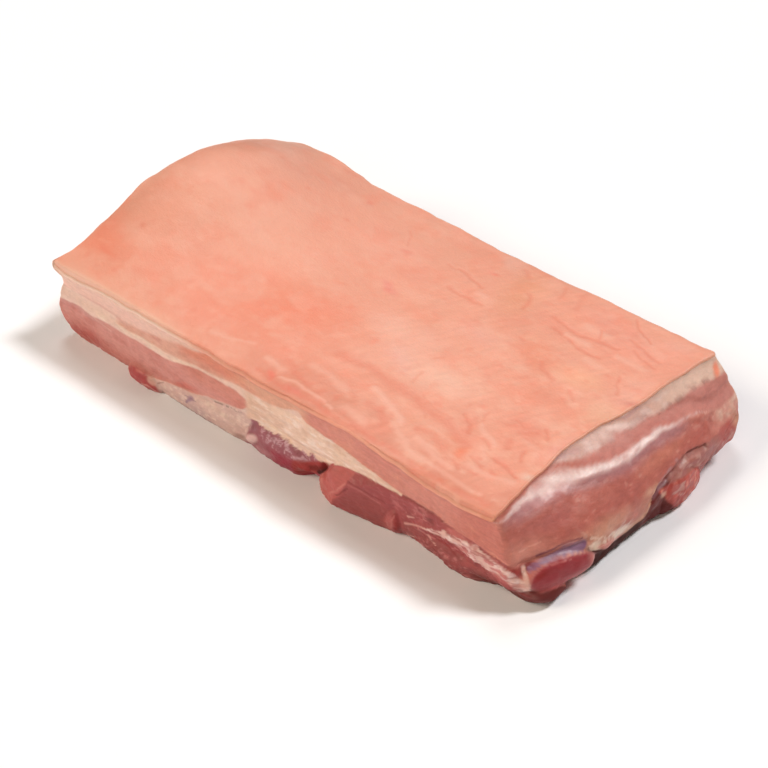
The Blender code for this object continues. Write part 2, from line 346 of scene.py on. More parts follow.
def back_relief(x, z, place):
    layers = 0.8 * bell(z - 14, 8) - 0.8 * bell(z - 33, 2.5) + 0.4 * bell(z - 27, 2)
    lobes = most(
        lobe(x, z, 60, 6, 42, 15, 4.0),
        lobe(x, z, 150, 4, 50, 17, 3.2),
        lobe(x, z, 205, 7, 20, 12, 3.8),
        lobe(x, z, 256, 8, 44, 18, 4.2),
    )
    return layers + lobes + 0.4 * layered(place, 6, 2, 45) + 0.18 * layered(place, 2, 2, 49)


def left_relief(y, z, place):
    layers = -1.2 * bell(z - curve(((12, 36), (90, 47), (165, 41)), y), 2.2) + 0.8 * bell(z - 18, 7)
    lobes = most(lobe(y, z, 55, 8, 40, 16, 3.6), lobe(y, z, 128, 9, 40, 18, 3.8))
    return layers + lobes + 0.4 * layered(place, 6, 2, 65) + 0.18 * layered(place, 2, 2, 69)


RELIEFS = (front_relief, end_relief, back_relief, left_relief)
FACINGS = ((0, -1), (1, 0), (0, 1), (-1, 0))


def facing_weights(out):
    """How much each of the four sides counts at a point: the squares of its direction's parts."""
    return [np.clip(out @ np.array(way, float), 0, None) ** 2 for way in FACINGS]


STANDS_BACK = ((6, 0.0), (18, 2.2), (30, 3.6), (46, 4.2), (62, 5.2), (82, 4.6), (97, 1.8), (112, 0.5), (150, 0.6), (178, 0.0))
TIPS = (((0.0, 0.0), (-4.2, 0.4, -1.2), 5.5), ((SKIN_LENGTH, SKIN_WIDTH), (1.0, 1.0, 0.0), 6.0))


def edge_shift(side, flat, out):
    """How the skin's edge strays from a straight cut: it wavers, stands back at the cut end, and has drawn corners."""
    along = flat[..., side % 2]
    place = np.stack([along, np.full_like(along, 37.0 * side), np.zeros_like(along)], -1)
    clear = ease(along / 8) * ease(((SKIN_LENGTH, SKIN_WIDTH)[side % 2] - along) / 8)
    push = clear * 0.55 * layered(place, 11, 3, 701)
    if side == 1:
        push = push - curve(STANDS_BACK, along)
    shift = np.concatenate([out * push[..., None], (clear * 0.4 * layered(place, 15, 2, 705))[..., None]], -1)
    for corner, pull, reach in TIPS:
        near = bell(np.hypot(flat[..., 0] - corner[0], flat[..., 1] - corner[1]), reach)
        shift = shift + near[..., None] * np.array(pull)
    return shift


def wall_grid(side, shares, drops):
    """Points of one wall from under the rind to the table, with what its paint needs to know."""
    share, drop = np.broadcast_arrays(shares[:, None], drops[None, :])
    z = (edge_height(side, share) - START) * (1 - drop)
    low, high = wall_limits(side, share, 1 - drop)
    radii = [top + growth * drop**power for top, growth, power in zip(CORNER_TOP, CORNER_GROWTH, (2, 2, 1.5, 2))]
    flat, out = ring_point(side, share, low, high, radii)
    place = np.concatenate([flat, z[..., None]], -1)
    reach = -TUCK * ease(1 - drop / 0.03)
    if side == 0:
        reach = reach * (1 - 0.8 * ease((110 - flat[..., 0]) / 50))
        reach = reach + 0.9 * ease((110 - flat[..., 0]) / 50) * ease(drop / 0.04) * ease((0.26 - drop) / 0.12)
    fade = ease(drop / 0.09)
    weights = facing_weights(out)
    for way, weight in enumerate(weights):
        if weight.max() > 1e-4:
            reach = reach + weight * fade * RELIEFS[way](flat[..., way % 2], z, place)
    place[..., :2] += out * reach[..., None]
    place += edge_shift(side, flat, out) * ease(1 - drop / 0.14)[..., None]
    return place, weights, flat, reach


# ---------------------------------------------------------------- paint for the walls

CREAM = (230, 194, 168)
PALE = (242, 212, 190)
GLINT = (250, 228, 212)


def wandering(a, z, place, seed):
    """The same places moved about a little, so that what is painted by them gets natural outlines."""
    a = a + 0.9 * layered(place, 8, 2, seed) + 0.25 * layered(place, 3.5, 2, seed + 3)
    z = z + 0.55 * layered(place, (10, 10, 7), 2, seed + 7) + 0.18 * layered(place, (4, 4, 4), 2, seed + 11)
    return a, z


def patches(place, size, seed, amount=0.0, sharp=1.6):
    """Scattered patches from 0 to 1; a higher amount covers more."""
    return np.clip(layered(place, size, 3, seed) * sharp + amount, 0, 1)


def front_layers(paint, x, z, place):
    """Fat under the skin, the upper lean, the fat seam and the lower lean."""
    paint.lay((236, 192, 172), between(z, 30, 46, 3) * ease((120 - x) / 50))
    paint.lay((243, 204, 184), ease((z - 38) / 5) * ease((110 - x) / 50) * 0.8)
    paint.lay((238, 180, 150), ease((z - 40) / 6) * ease((150 - x) / 60))
    upper_low = curve(((48, 28.4), (60, 28.2), (80, 28.6), (96, 29), (118, 31.4), (132, 32.6), (150, 34.5), (170, 34.5), (182, 37.5),
                       (194, 41), (199, 37), (206, 36.4), (220, 35), (228, 33.5), (240, 32), (250, 30.4), (262, 29.2), (284, 29),
                       (292, 27.2), (310, 26), (320, 24.6), (336, 23)), x)
    upper_top = curve(((48, 29.2), (60, 32.5), (80, 35.5), (96, 38.2), (118, 41.5), (132, 50), (150, 60)), x)
    upper = between(z, upper_low, upper_top, curve(((60, 3.2), (120, 3.6), (150, 4.4), (190, 4.0), (200, 1.6)), x))
    upper = upper * ease((x - 46) / 10)
    paint.lay((217, 156, 134), upper * (0.75 + 0.25 * ease((x - 90) / 40)), 0.25)
    paint.lay((220, 140, 112), upper * span(x, 104, 160, 16) * ease((z - 33) / 6))
    paint.lay((222, 164, 134), upper * span(x, 150, 200, 20) * 0.8)
    paint.lay((211, 138, 121), upper * ease((x - 196) / 8), 0.3)
    paint.lay((200, 120, 104), upper * ease((x - 286) / 26), 0.35)
    paint.lay((224, 150, 126), upper * ease((x - 200) / 20) * patches(place, (14, 14, 6), 111) * 0.6)
    paint.lay((200, 122, 106), upper * patches(place, (12, 12, 3), 113, -0.1) * 0.35)
    paint.lay((212, 158, 142), streak(x, z, ((6, 33), (14, 32), (24, 33), (40, 33.4), (60, 32.0)), (0.9, 1.4), 1.3) * 0.7)
    # fat seam
    lower_top = curve(((-4, 22.4), (6, 23.6), (20, 24.6), (29, 22.6), (36, 24.2), (58, 24.4), (90, 24.6), (104, 27), (120, 30),
                       (146, 30.8), (154, 29.4), (158, 25)), x)
    seam = between(z, lower_top - 2, np.where(x < 50, 33.0, upper_low), 1.4) * ease((x + 2) / 6)
    paint.lay((233, 196, 176), seam * ease((206 - x) / 20), 0.35)
    paint.lay((240, 208, 184), seam * bell(z - 27, 1.7) * span(x, 34, 116, 12) * patches(place, (12, 12, 3), 117, 0.5), 0.5)
    # lower lean
    lower_low = curve(((-4, -20), (57, -20), (60, -2), (72, 4.6), (84, 6.6), (92, 9), (104, 10.4), (111, 11.4), (120, 14.4), (130, 16.6),
                       (140, 18.2), (150, 21), (157, 24.5)), x)
    lower = between(z, lower_low, lower_top, 1.6) * ease((158.5 - x) / 4)
    paint.lay((211, 144, 130), lower, 0.35)
    paint.lay((206, 150, 138), lower * ease((z - lower_top + 6) / 5) * ease((60 - x) / 30) * 0.8)
    paint.lay((198, 116, 102), lower * ease((14 - z) / 10) * ease((110 - x) / 40) * 0.8, 0.4)
    paint.lay((180, 84, 74), lower * spot(x, z, 20, 8, 24, 11) * 0.95, 0.45)
    paint.lay((176, 70, 64), lower * spot(x, z, 31, 6, 6, 4, 1.0, -30) * 0.8, 0.6)
    paint.lay((206, 112, 100), lower * spot(x, z, 4, 11, 6, 3, 1.0, 20) * 0.7)
    paint.lay((204, 140, 116), lower * ease((3 - x) / 6) * ease((z - 9) / 6) * 0.8)
    paint.lay((200, 118, 106), lower * spot(x, z, 12, 21, 14, 4) * 0.6)
    paint.lay((222, 170, 152), lower * streak(x, z, ((26, 23), (36, 22), (46, 20.4)), (1.4, 0.6), 1.3) * 0.55)
    paint.lay((200, 104, 90), lower * spot(x, z, 106, 13.4, 16, 3.4, 1.0, 14) * 0.7)
    paint.lay((210, 134, 114), lower * span(x, 108, 158, 20) * ease((z - 18) / 6) * 0.7)
    paint.lay((214, 146, 130), lower * patches(place, (16, 16, 4), 121, -0.1) * 0.4)
    paint.lay((186, 100, 88), lower * patches(place, (14, 14, 4), 123, -0.2) * 0.35)
    return upper_low, lower_low


def front_membrane(paint, x, z, place, lower_low):
    """The film over the foot of the front, with the purple and dark red lobe at its right."""
    film = between(z, -20, lower_low - 0.2, 1.0) * span(x, 80, 164, 4)
    paint.lay((213, 175, 160), film, 0.5)
    paint.lay((200, 166, 158), film * spot(x, z, 114, 0, 18, 9) * 0.9, 0.5)
    paint.lay((222, 186, 168), film * spot(x, z, 134, 10, 26, 7) * 0.9, 0.5)
    paint.lay((206, 162, 150), film * patches(place, (9, 9, 4), 133) * 0.4)
    paint.lay((238, 208, 186), film * patches(place, (3, 3, 2), 135, -0.35, 2.2) * 0.6, 0.8)
    paint.lay((150, 112, 132), streak(x, z, ((112, 7.6), (110, 5.6), (107.5, 2.6)), (2.2, 0.8), 1.3) * 0.85, 0.6)
    paint.lay((150, 116, 118), streak(x, z, ((107, 7.0), (115, 7.4)), (0.5, 0.5), 1.2) * 0.7)
    dash = np.clip(layered(place, (2.2, 2.2, 2.2), 2, 137) * 2.4 + 0.3, 0, 1)
    paint.lay((146, 118, 104), film * streak(x, z, ((128, 15.0), (138, 16.4), (150, 18.6)), (0.5, 0.8), 1.2) * dash * 0.8)
    paint.lay((168, 136, 128), film * ease((0.5 - z) / 2) * 0.6)
    paint.lay((170, 128, 114), spot(x, z, 148, 1.6, 8, 2.6, 0.8, 16) * 0.9, 0.5)
    # wide fat drawn out to a point at the right
    fat_low = curve(((153, 17), (160, 18.4), (170, 18), (180, 19.4), (190, 18.6), (198, 18), (204, 19.6), (209, 18.8), (216, 20.6),
                     (221, 23), (232, 25.2), (250, 27), (264, 27.6)), x)
    ragged = 1.6 * layered(place, (2.4, 2.4, 3), 2, 139) * span(x, 162, 212, 8)
    top = curve(((152, 36), (196, 38), (199, 37), (206, 36.4), (220, 35), (228, 33.5), (240, 32), (250, 30.4), (262, 29.2)), x)
    wide = between(z, fat_low + ragged, top, 1.1) * span(x, 155, 265, 5)
    wide_left = np.where(x < 200, ease((curve(((156, 34.5), (170, 34.5), (182, 37), (196, 40.5)), x) - z) / 3.4 + 0.5), 1)
    paint.lay((224, 184, 157), wide * wide_left, 0.5)
    paint.lay((234, 198, 172), wide * wide_left * span(x, 172, 262, 14), 0.5)
    glint = patches(place, (6, 6, 1.3), 143, -0.15, 2.0)
    paint.lay(GLINT, wide * wide_left * glint * span(x, 160, 262, 8) * 0.5, 0.9)
    paint.lay((214, 168, 142), wide * wide_left * patches(place, (9, 9, 3), 147, -0.2) * 0.5)
    # purple film with bright curls of painted highlight, crimson below
    start = 151.5 + 0.28 * z + 1.6 * layered(place, 4, 2, 149)
    purple = between(z, -20, fat_low + ragged, 1.0) * ease((x - start) / 3.5) * ease((214 - x) / 3)
    paint.lay((158, 88, 94), purple, 0.6)
    paint.lay((150, 98, 106), purple * spot(x, z, 158, 15, 9, 6) * 0.9, 0.7)
    crimson = ease((10.5 - z + 0.05 * (x - 180)) / 6) * ease((x - 166) / 10)
    paint.lay((158, 50, 66), purple * crimson, 0.6)
    paint.lay((188, 128, 130), purple * spot(x, z, 166, 1.5, 12, 4) * 0.9, 0.6)
    # painted highlight: a net of bright curls where the wet film shines
    curl_highlights = creased(place + 0.8 * layered(place, 2.2, 2, 151)[..., None], (2.6, 2.6, 3.4), 2, 153)
    curl_highlights = curl_highlights * between(z, 8.5, 20, 3) * span(x, 166, 206, 6)
    paint.lay((216, 172, 172), purple * curl_highlights * 0.8, 0.9)
    paint.lay((140, 76, 76), purple * patches(place, (2.4, 2.4, 2.8), 155, -0.3, 2.2) * between(z, 12, 22, 3) * 0.7)
    paint.lay((160, 54, 50), streak(x, z, ((192, 5), (199, 9), (207, 14), (212, 17)), (4.8, 3.0), 0.7), 0.5)
    # painted shade: the dark gap at the left end of the cut piece, darkest at its core
    paint.lay((118, 34, 28), streak(x, z, ((201, 10.5), (208, 13.5), (214, 17)), (1.6, 2.8), 1.0), 0.3)
    paint.lay((72, 18, 12), streak(x, z, ((207, 10.5), (211, 13.4), (215.5, 16.8)), (1.4, 1.7), 0.8), 0.2)
    paint.lay((222, 180, 170), spot(x, z, 157.4, 5.4, 7.6, 3.6, 0.6, 40), 0.6)
    # small red lobe at the left end of the film
    red = spot(x, z, 70.5, -1.4, 15, 8.2, 0.25, -9)
    paint.lay((178, 74, 70), red, 0.65)
    paint.lay((160, 50, 50), red * spot(x, z, 69, 2, 6, 4) * 0.8, 0.7)
    paint.lay((208, 112, 98), red * streak(x, z, ((66, 4.4), (72, 5.4), (78, 5.8)), (0.9, 0.6), 1.2) * 0.8)
    paint.lay((222, 160, 144), streak(x, z, ((70, -3.6), (75, -2.0), (80, -2.6), (84, -3.2)), (0.8, 0.5), 1.3) * 0.75, 0.8)
    paint.lay((150, 62, 52), streak(x, z, ((76, -4.6), (82, -3.8), (87, -3.0)), (0.8, 0.6), 1.3) * 0.8)
    paint.lay((220, 166, 146), spot(x, z, 78.6, 2.4, 4.6, 3.0, 0.6) * 0.9, 0.6)
    paint.lay((156, 108, 92), streak(x, z, ((83.5, 3.6), (86, 5.4), (89, 7.2)), (0.7, 0.5), 1.2) * 0.75)
    return fat_low


def front_trimmings(paint, x, z, place, fat_low, upper_low):
    """The cut piece, its nub, and the strands of fat and dark lean towards the right corner."""
    tip = 206.6 + 0.76 * np.clip(z - 8, 0, None) + 0.4 * np.clip(3 - z, 0, None)
    right = ease((x - tip) / 1.2) * between(z, -20, np.where(x < 264, fat_low, upper_low), 1.0)
    paint.lay((163, 76, 74), right, 0.5)
    facet = right * ease((224 + 0.55 * (z - 8) - x) / 2.0)
    paint.lay((192, 98, 90), facet, 0.45)
    paint.lay((204, 118, 106), facet * ease((212.5 - x) / 4) * 0.7, 0.5)
    face = spot(x, z, 240, 5.2, 22, 10.5, 0.3, 9)
    paint.lay((157, 77, 73), right * face * ease((x - 221 - 0.5 * (z - 8)) / 3), 0.4)
    paint.lay((186, 104, 96), right * streak(x, z, ((228, 14.2), (236, 15), (248, 14.6)), (0.8, 0.5), 1.2) * 0.75, 0.6)
    paint.lay((138, 58, 56), right * streak(x, z, ((228, 16.4), (240, 16.6), (252, 17)), (1.0, 0.6), 1.2) * 0.75)
    paint.lay((132, 52, 50), right * streak(x, z, ((219.5, 4), (222.5, 8), (227, 12)), (0.7, 0.7), 1.2) * 0.8)
    paint.lay((206, 124, 112), right * streak(x, z, ((214.5, 1), (218, 5), (221, 9.4), (226, 14)), (0.8, 0.6), 1.2) * 0.75, 0.6)
    paint.lay((170, 84, 82), right * between(z, 17.5, 26, 3) * patches(place, (7, 7, 3), 161, 0.3) * 0.7, 0.6)
    # painted highlight: small bright wet spots on the band above the cut piece
    paint.lay((196, 110, 106), right * patches(place, (5, 5, 1.5), 163, -0.6, 2.2) * between(z, 17, 27, 3) * 0.6, 0.9)
    paint.lay((176, 86, 80), right * patches(place, (8, 8, 4), 165, -0.3) * ease((14 - z) / 4) * 0.4)
    # nub of fat at the piece's right end
    paint.lay((150, 46, 42), spot(x, z, 259.5, 8.5, 4.6, 8.5, 0.7, 8) * 0.9, 0.6)
    paint.lay((186, 96, 90), spot(x, z, 255, 6, 4.6, 8.4, 0.8, -10) * 0.95, 0.5)
    paint.lay((204, 122, 112), streak(x, z, ((256.5, 3), (257, 8), (258, 12)), (1.0, 0.6), 1.2) * 0.6, 0.6)
    # dark lean and its strands
    brown = ease((x - 262) / 6) * right
    paint.lay((152, 76, 72), brown * ease((15 - z) / 5), 0.45)
    paint.lay((126, 54, 50), brown * bell(z - upper_low + 0.8, 0.7) * span(x, 262, 292, 4) * 0.7)
    paint.lay((200, 108, 100), brown * spot(x, z, 299, 24, 12, 4.2, 0.7, -5) * 0.95, 0.6)
    paint.lay((176, 84, 80), brown * patches(place, (6, 6, 2), 167) * 0.5)
    # painted highlight: small bright wet spots on the dark lean
    paint.lay((204, 124, 116), brown * patches(place, (3, 3, 1.6), 169, -0.7, 2.6) * 0.6, 0.9)
    paint.lay((128, 56, 50), brown * patches(place, (6, 6, 1.6), 171, -0.5, 2.0) * 0.6)
    paint.lay((146, 44, 40), streak(x, z, ((286, 14.5), (291, 13.6), (298, 11)), (1.2, 0.8), 1.2) * 0.7, 0.7)
    for path in (((266, 11.4), (271, 13.4), (277, 16)), ((267, 17.2), (272, 19)), ((266, 3.4), (272, 6.2)), ((281.5, 13.2), (283.4, 11), (285.6, 9.4))):
        paint.lay((224, 166, 150), streak(x, z, path, (0.9, 0.5), 1.2) * 0.75, 0.7)
    mid = curve(((276, 16.0), (283, 17.6), (290, 19.4), (300, 19.6), (310, 19.8), (318, 18.6), (328, 17.0), (338, 15.6)), x)
    half = curve(((276, 0.7), (284, 1.7), (292, 2.4), (302, 3.6), (310, 4.8), (318, 4.6), (326, 3.8), (336, 4.0)), x)
    torn = 1.3 * layered(place, (4.0, 4.0, 2.2), 2, 173)
    ribbon = ease((half * 1.15 - np.abs(z - mid + torn)) / 1.0) * span(x, 276, 342, 3)
    paint.lay((224, 178, 162), ribbon, 0.6)
    paint.lay((240, 206, 194), ribbon * patches(place, (4, 4, 2), 175, 0.15, 2.0) * 0.85, 0.8)
    paint.lay((196, 108, 102), ribbon * patches(place, (5, 5, 2.4), 177, -0.2, 2.2) * ease((x - 284) / 16) * 0.85, 0.6)
    paint.lay((170, 84, 80), ribbon * patches(place, (9, 9, 1.3), 179, -0.35, 2.4) * 0.8, 0.6)
    paint.lay((190, 100, 94), spot(x, z, 324, 13.4, 8, 2.6, 0.8, -8) * 0.9, 0.6)
    paint.lay((176, 84, 80), spot(x, z, 322, 22.4, 9, 2.0, 0.8, -12) * 0.9, 0.6)
    paint.lay((150, 58, 54), spot(x, z, 333, 22.6, 4, 2.6, 0.7, 20) * 0.85, 0.6)
    paint.lay((118, 54, 48), ease((11.0 + 0.05 * (x - 330) - z) / 2.5) * ease((x - 306) / 12), 0.4)


def front_paint(x, z, place):
    """The front wall's layers and trimmings, by where they show on the upright plane through the skin's edge."""
    x, z = wandering(x, z, place, 101)
    paint = Paint(x.shape, (229, 190, 165), 0.3)
    upper_low, lower_low = front_layers(paint, x, z, place)
    fat_low = front_membrane(paint, x, z, place, lower_low)
    front_trimmings(paint, x, z, place, fat_low, upper_low)
    return paint


def end_band(paint, y, z, place):
    """The wide smooth band of lean across the cut end, with its creamy lower edge."""
    long = (15, 15, 6)
    paint.lay((206, 128, 112), patches(place, long, 211, 0.1) * 0.8)
    paint.lay((178, 92, 82), patches(place, long, 213, 0.0) * 0.6)
    paint.lay((214, 136, 118), spot(y, z, 8, 28, 24, 9) * 0.9)
    paint.lay((232, 160, 140), streak(y, z, ((6, 29.4), (12, 29.8), (19, 29.0)), (0.5, 0.3), 1.3) * 0.6, 0.9)
    paint.lay((184, 104, 98), spot(y, z, 28, 36, 30, 6) * 0.6)
    paint.lay((204, 144, 118), spot(y, z, 52, 22, 30, 8) * 0.8)
    paint.lay((196, 128, 106), spot(y, z, 86, 18, 14, 9) * 0.8)
    paint.lay((206, 122, 100), spot(y, z, 106, 32, 30, 4.5) * 0.7)
    paint.lay((188, 98, 86), spot(y, z, 136, 29, 22, 5) * 0.8)
    paint.lay((206, 136, 120), spot(y, z, 148, 38, 30, 6) * 0.9)
    paint.lay((200, 126, 110), spot(y, z, 160, 32, 22, 12) * 0.8)
    paint.lay((206, 150, 128), spot(y, z, 166, 28, 8, 8) * 0.7)
    paint.lay((226, 158, 140), streak(y, z, ((146, 33.6), (152, 32.2), (156, 31.6), (158, 28)), (0.9, 0.5), 1.3) * 0.8, 0.7)
    paint.lay((216, 150, 134), ease((y - 150) / 14) * ease((z - 22) / 8) * patches(place, (9, 9, 7), 219, 0.6) * 0.8)
    paint.lay((232, 188, 166), ease((y - 148) / 12) * ease((z - 22) / 8) * patches(place, (6, 6, 5), 225, -0.5, 2.0) * 0.7)
    grain = layered(place, (5, 5, 1.8), 2, 217)
    paint.shade(1 + 0.06 * grain)
    paint.lay((222, 160, 144), np.clip(grain * 2.6 - 1.75, 0, 1) * between(z, 28, 42, 3) * 0.35, 0.8)
    low = curve(((-8, 23.8), (12, 23.2), (18, 24.6), (36, 25.0), (42, 16.5), (52, 13.6), (62, 11.6), (84, 10.8), (88, 15), (92, 22), (106, 24.6),
                 (118, 26.4), (132, 25.4), (144, 24), (156, 22), (168, 17)), y)
    edge = z - low
    cream = ease((7.5 - edge) / 5) * span(y, 40, 66, 8)
    paint.lay((230, 196, 174), cream * patches(place, (7, 7, 4), 221, 0.9) * 0.95, 0.6)
    paint.lay((238, 206, 188), spot(y, z, 64, 14.6, 13, 3.6, 0.8, -14) * 0.95, 0.8)
    paint.lay((210, 158, 130), ease((4.5 - edge) / 4) * span(y, 66, 94, 6) * 0.7, 0.5)
    paint.lay((244, 206, 180), patches(place, (2.6, 2.6, 1.8), 223, -0.6, 2.6) * span(y, 38, 72, 8) * ease((10 - edge) / 6) * 0.7, 0.9)
    paint.lay((218, 158, 132), spot(y, z, 87.5, 23.4, 6, 3.0) * 0.9, 0.6)
    return low


def end_top(paint, y, z, place):
    """From the seam's wet ridge up to the skin."""
    ridge_z = curve(((-4, 43.6), (10, 44.0), (22, 45), (40, 44.2), (52, 43.6), (62, 42), (72, 40.4), (84, 39.2), (110, 39.4),
                     (122, 38), (132, 37), (142, 35), (150, 32), (160, 30)), y)
    half = curve(((-4, 0.7), (8, 0.9), (20, 1.3), (40, 1.9), (52, 2.0), (84, 1.6), (110, 1.5), (122, 1.0), (142, 0.6), (156, 0.3)), y)
    torn = 0.45 * layered(oblique(y, z, 0, 18, 7), 1.0, 2, 231)
    away = z - ridge_z + torn
    fat_z = curve(((30, 48.4), (42, 47.4), (52, 46.8), (62, 46.4), (84, 45.6), (110, 45.0), (130, 43.8), (150, 42.4),
                   (168, 40.2), (180, 40)), y)
    strokes = layered(oblique(y, away, 0, 11, 1.7), 1.0, 2, 233)
    paint.lay((196, 122, 110), between(z, ridge_z + half, fat_z, 2.0) * ease((y - 42) / 14), 0.4)
    paint.lay((186, 104, 92), bell(z - ridge_z - half - 1.1, 1.0) * span(y, 48, 130, 10) * 0.6)
    haze = ease((0.4 - away) / 1.0) * ease((away + 6.5) / 5.0)
    paint.lay((188, 132, 134), haze * span(y, 8, 128, 18) * 0.7, 0.6)
    paint.lay((220, 178, 174), haze * np.clip(strokes * 2.2, 0, 1) * span(y, 8, 120, 14) * 0.4, 0.8)
    # the ridge's pale fat, partly painted highlight where it is wet
    crest = ease((half * 1.3 - np.abs(away)) / 1.3) * ease((158 - y) / 20) * ease((y + 6) / 6)
    paint.lay((218, 176, 168), crest * (0.7 + 0.5 * strokes), 0.6)
    # painted highlight: the brightest wet shine along the crest
    ridge_highlight = ease((half * 0.85 - np.abs(away - 0.1)) / 1.1) * ease((122 - y) / 24) * ease((y - 16) / 20)
    paint.lay((236, 206, 200), ridge_highlight * (0.5 + 0.7 * strokes) * (0.6 + 0.4 * ease((y - 30) / 14)), 0.9)
    # fat between the lean and the skin, wet in streaks, with painted highlights along some of them
    fat = ease((z - fat_z) / 1.6 + 0.5) * ease((y - 32) / 8)
    streaks = layered(oblique(y, z - fat_z, 0, 12, 1.6), 1.0, 2, 241)
    paint.lay((207, 156, 140), fat, 0.35)
    paint.lay((220, 180, 160), fat * ease((y - 104) / 40) * 0.8)
    paint.lay((200, 152, 142), fat * span(y, 46, 112, 16) * ease((fat_z + 2.6 - z) / 2.4) * 0.7, 0.7)
    paint.lay((188, 136, 134), fat * np.clip(streaks * 1.8 - 0.2, 0, 1) * span(y, 46, 120, 14) * 0.6, 0.5)
    paint.lay((224, 188, 178), fat * np.clip(-streaks * 2.0 - 0.3, 0, 1) * span(y, 44, 134, 14) * 0.4, 0.7)
    dash = np.clip(layered(place, (3, 3, 3), 1, 245) * 2.5 + 0.2, 0, 1)
    paint.lay((160, 104, 92), bell(z - fat_z, 0.6) * dash * span(y, 112, 166, 10) * 0.5)
    paint.lay((232, 122, 88), spot(y, z, 172, 41.6, 6, 2.0, 0.8, 18) * 0.9)
    # orange-tan under the skin's edge, and a brown line of painted shade where the skin overhangs
    hang = curve(((-6, 46.4), (10, 46.4), (26, 47.2), (40, 46.6), (62, 46.0)), y)
    paint.lay((214, 140, 108), ease((z - hang + 0.4) / 0.8) * ease((42 - y) / 8) * 0.9)
    paint.lay((176, 92, 72), bell(z - hang + 0.4, 0.7) * span(y, 4, 60, 8) * 0.6)


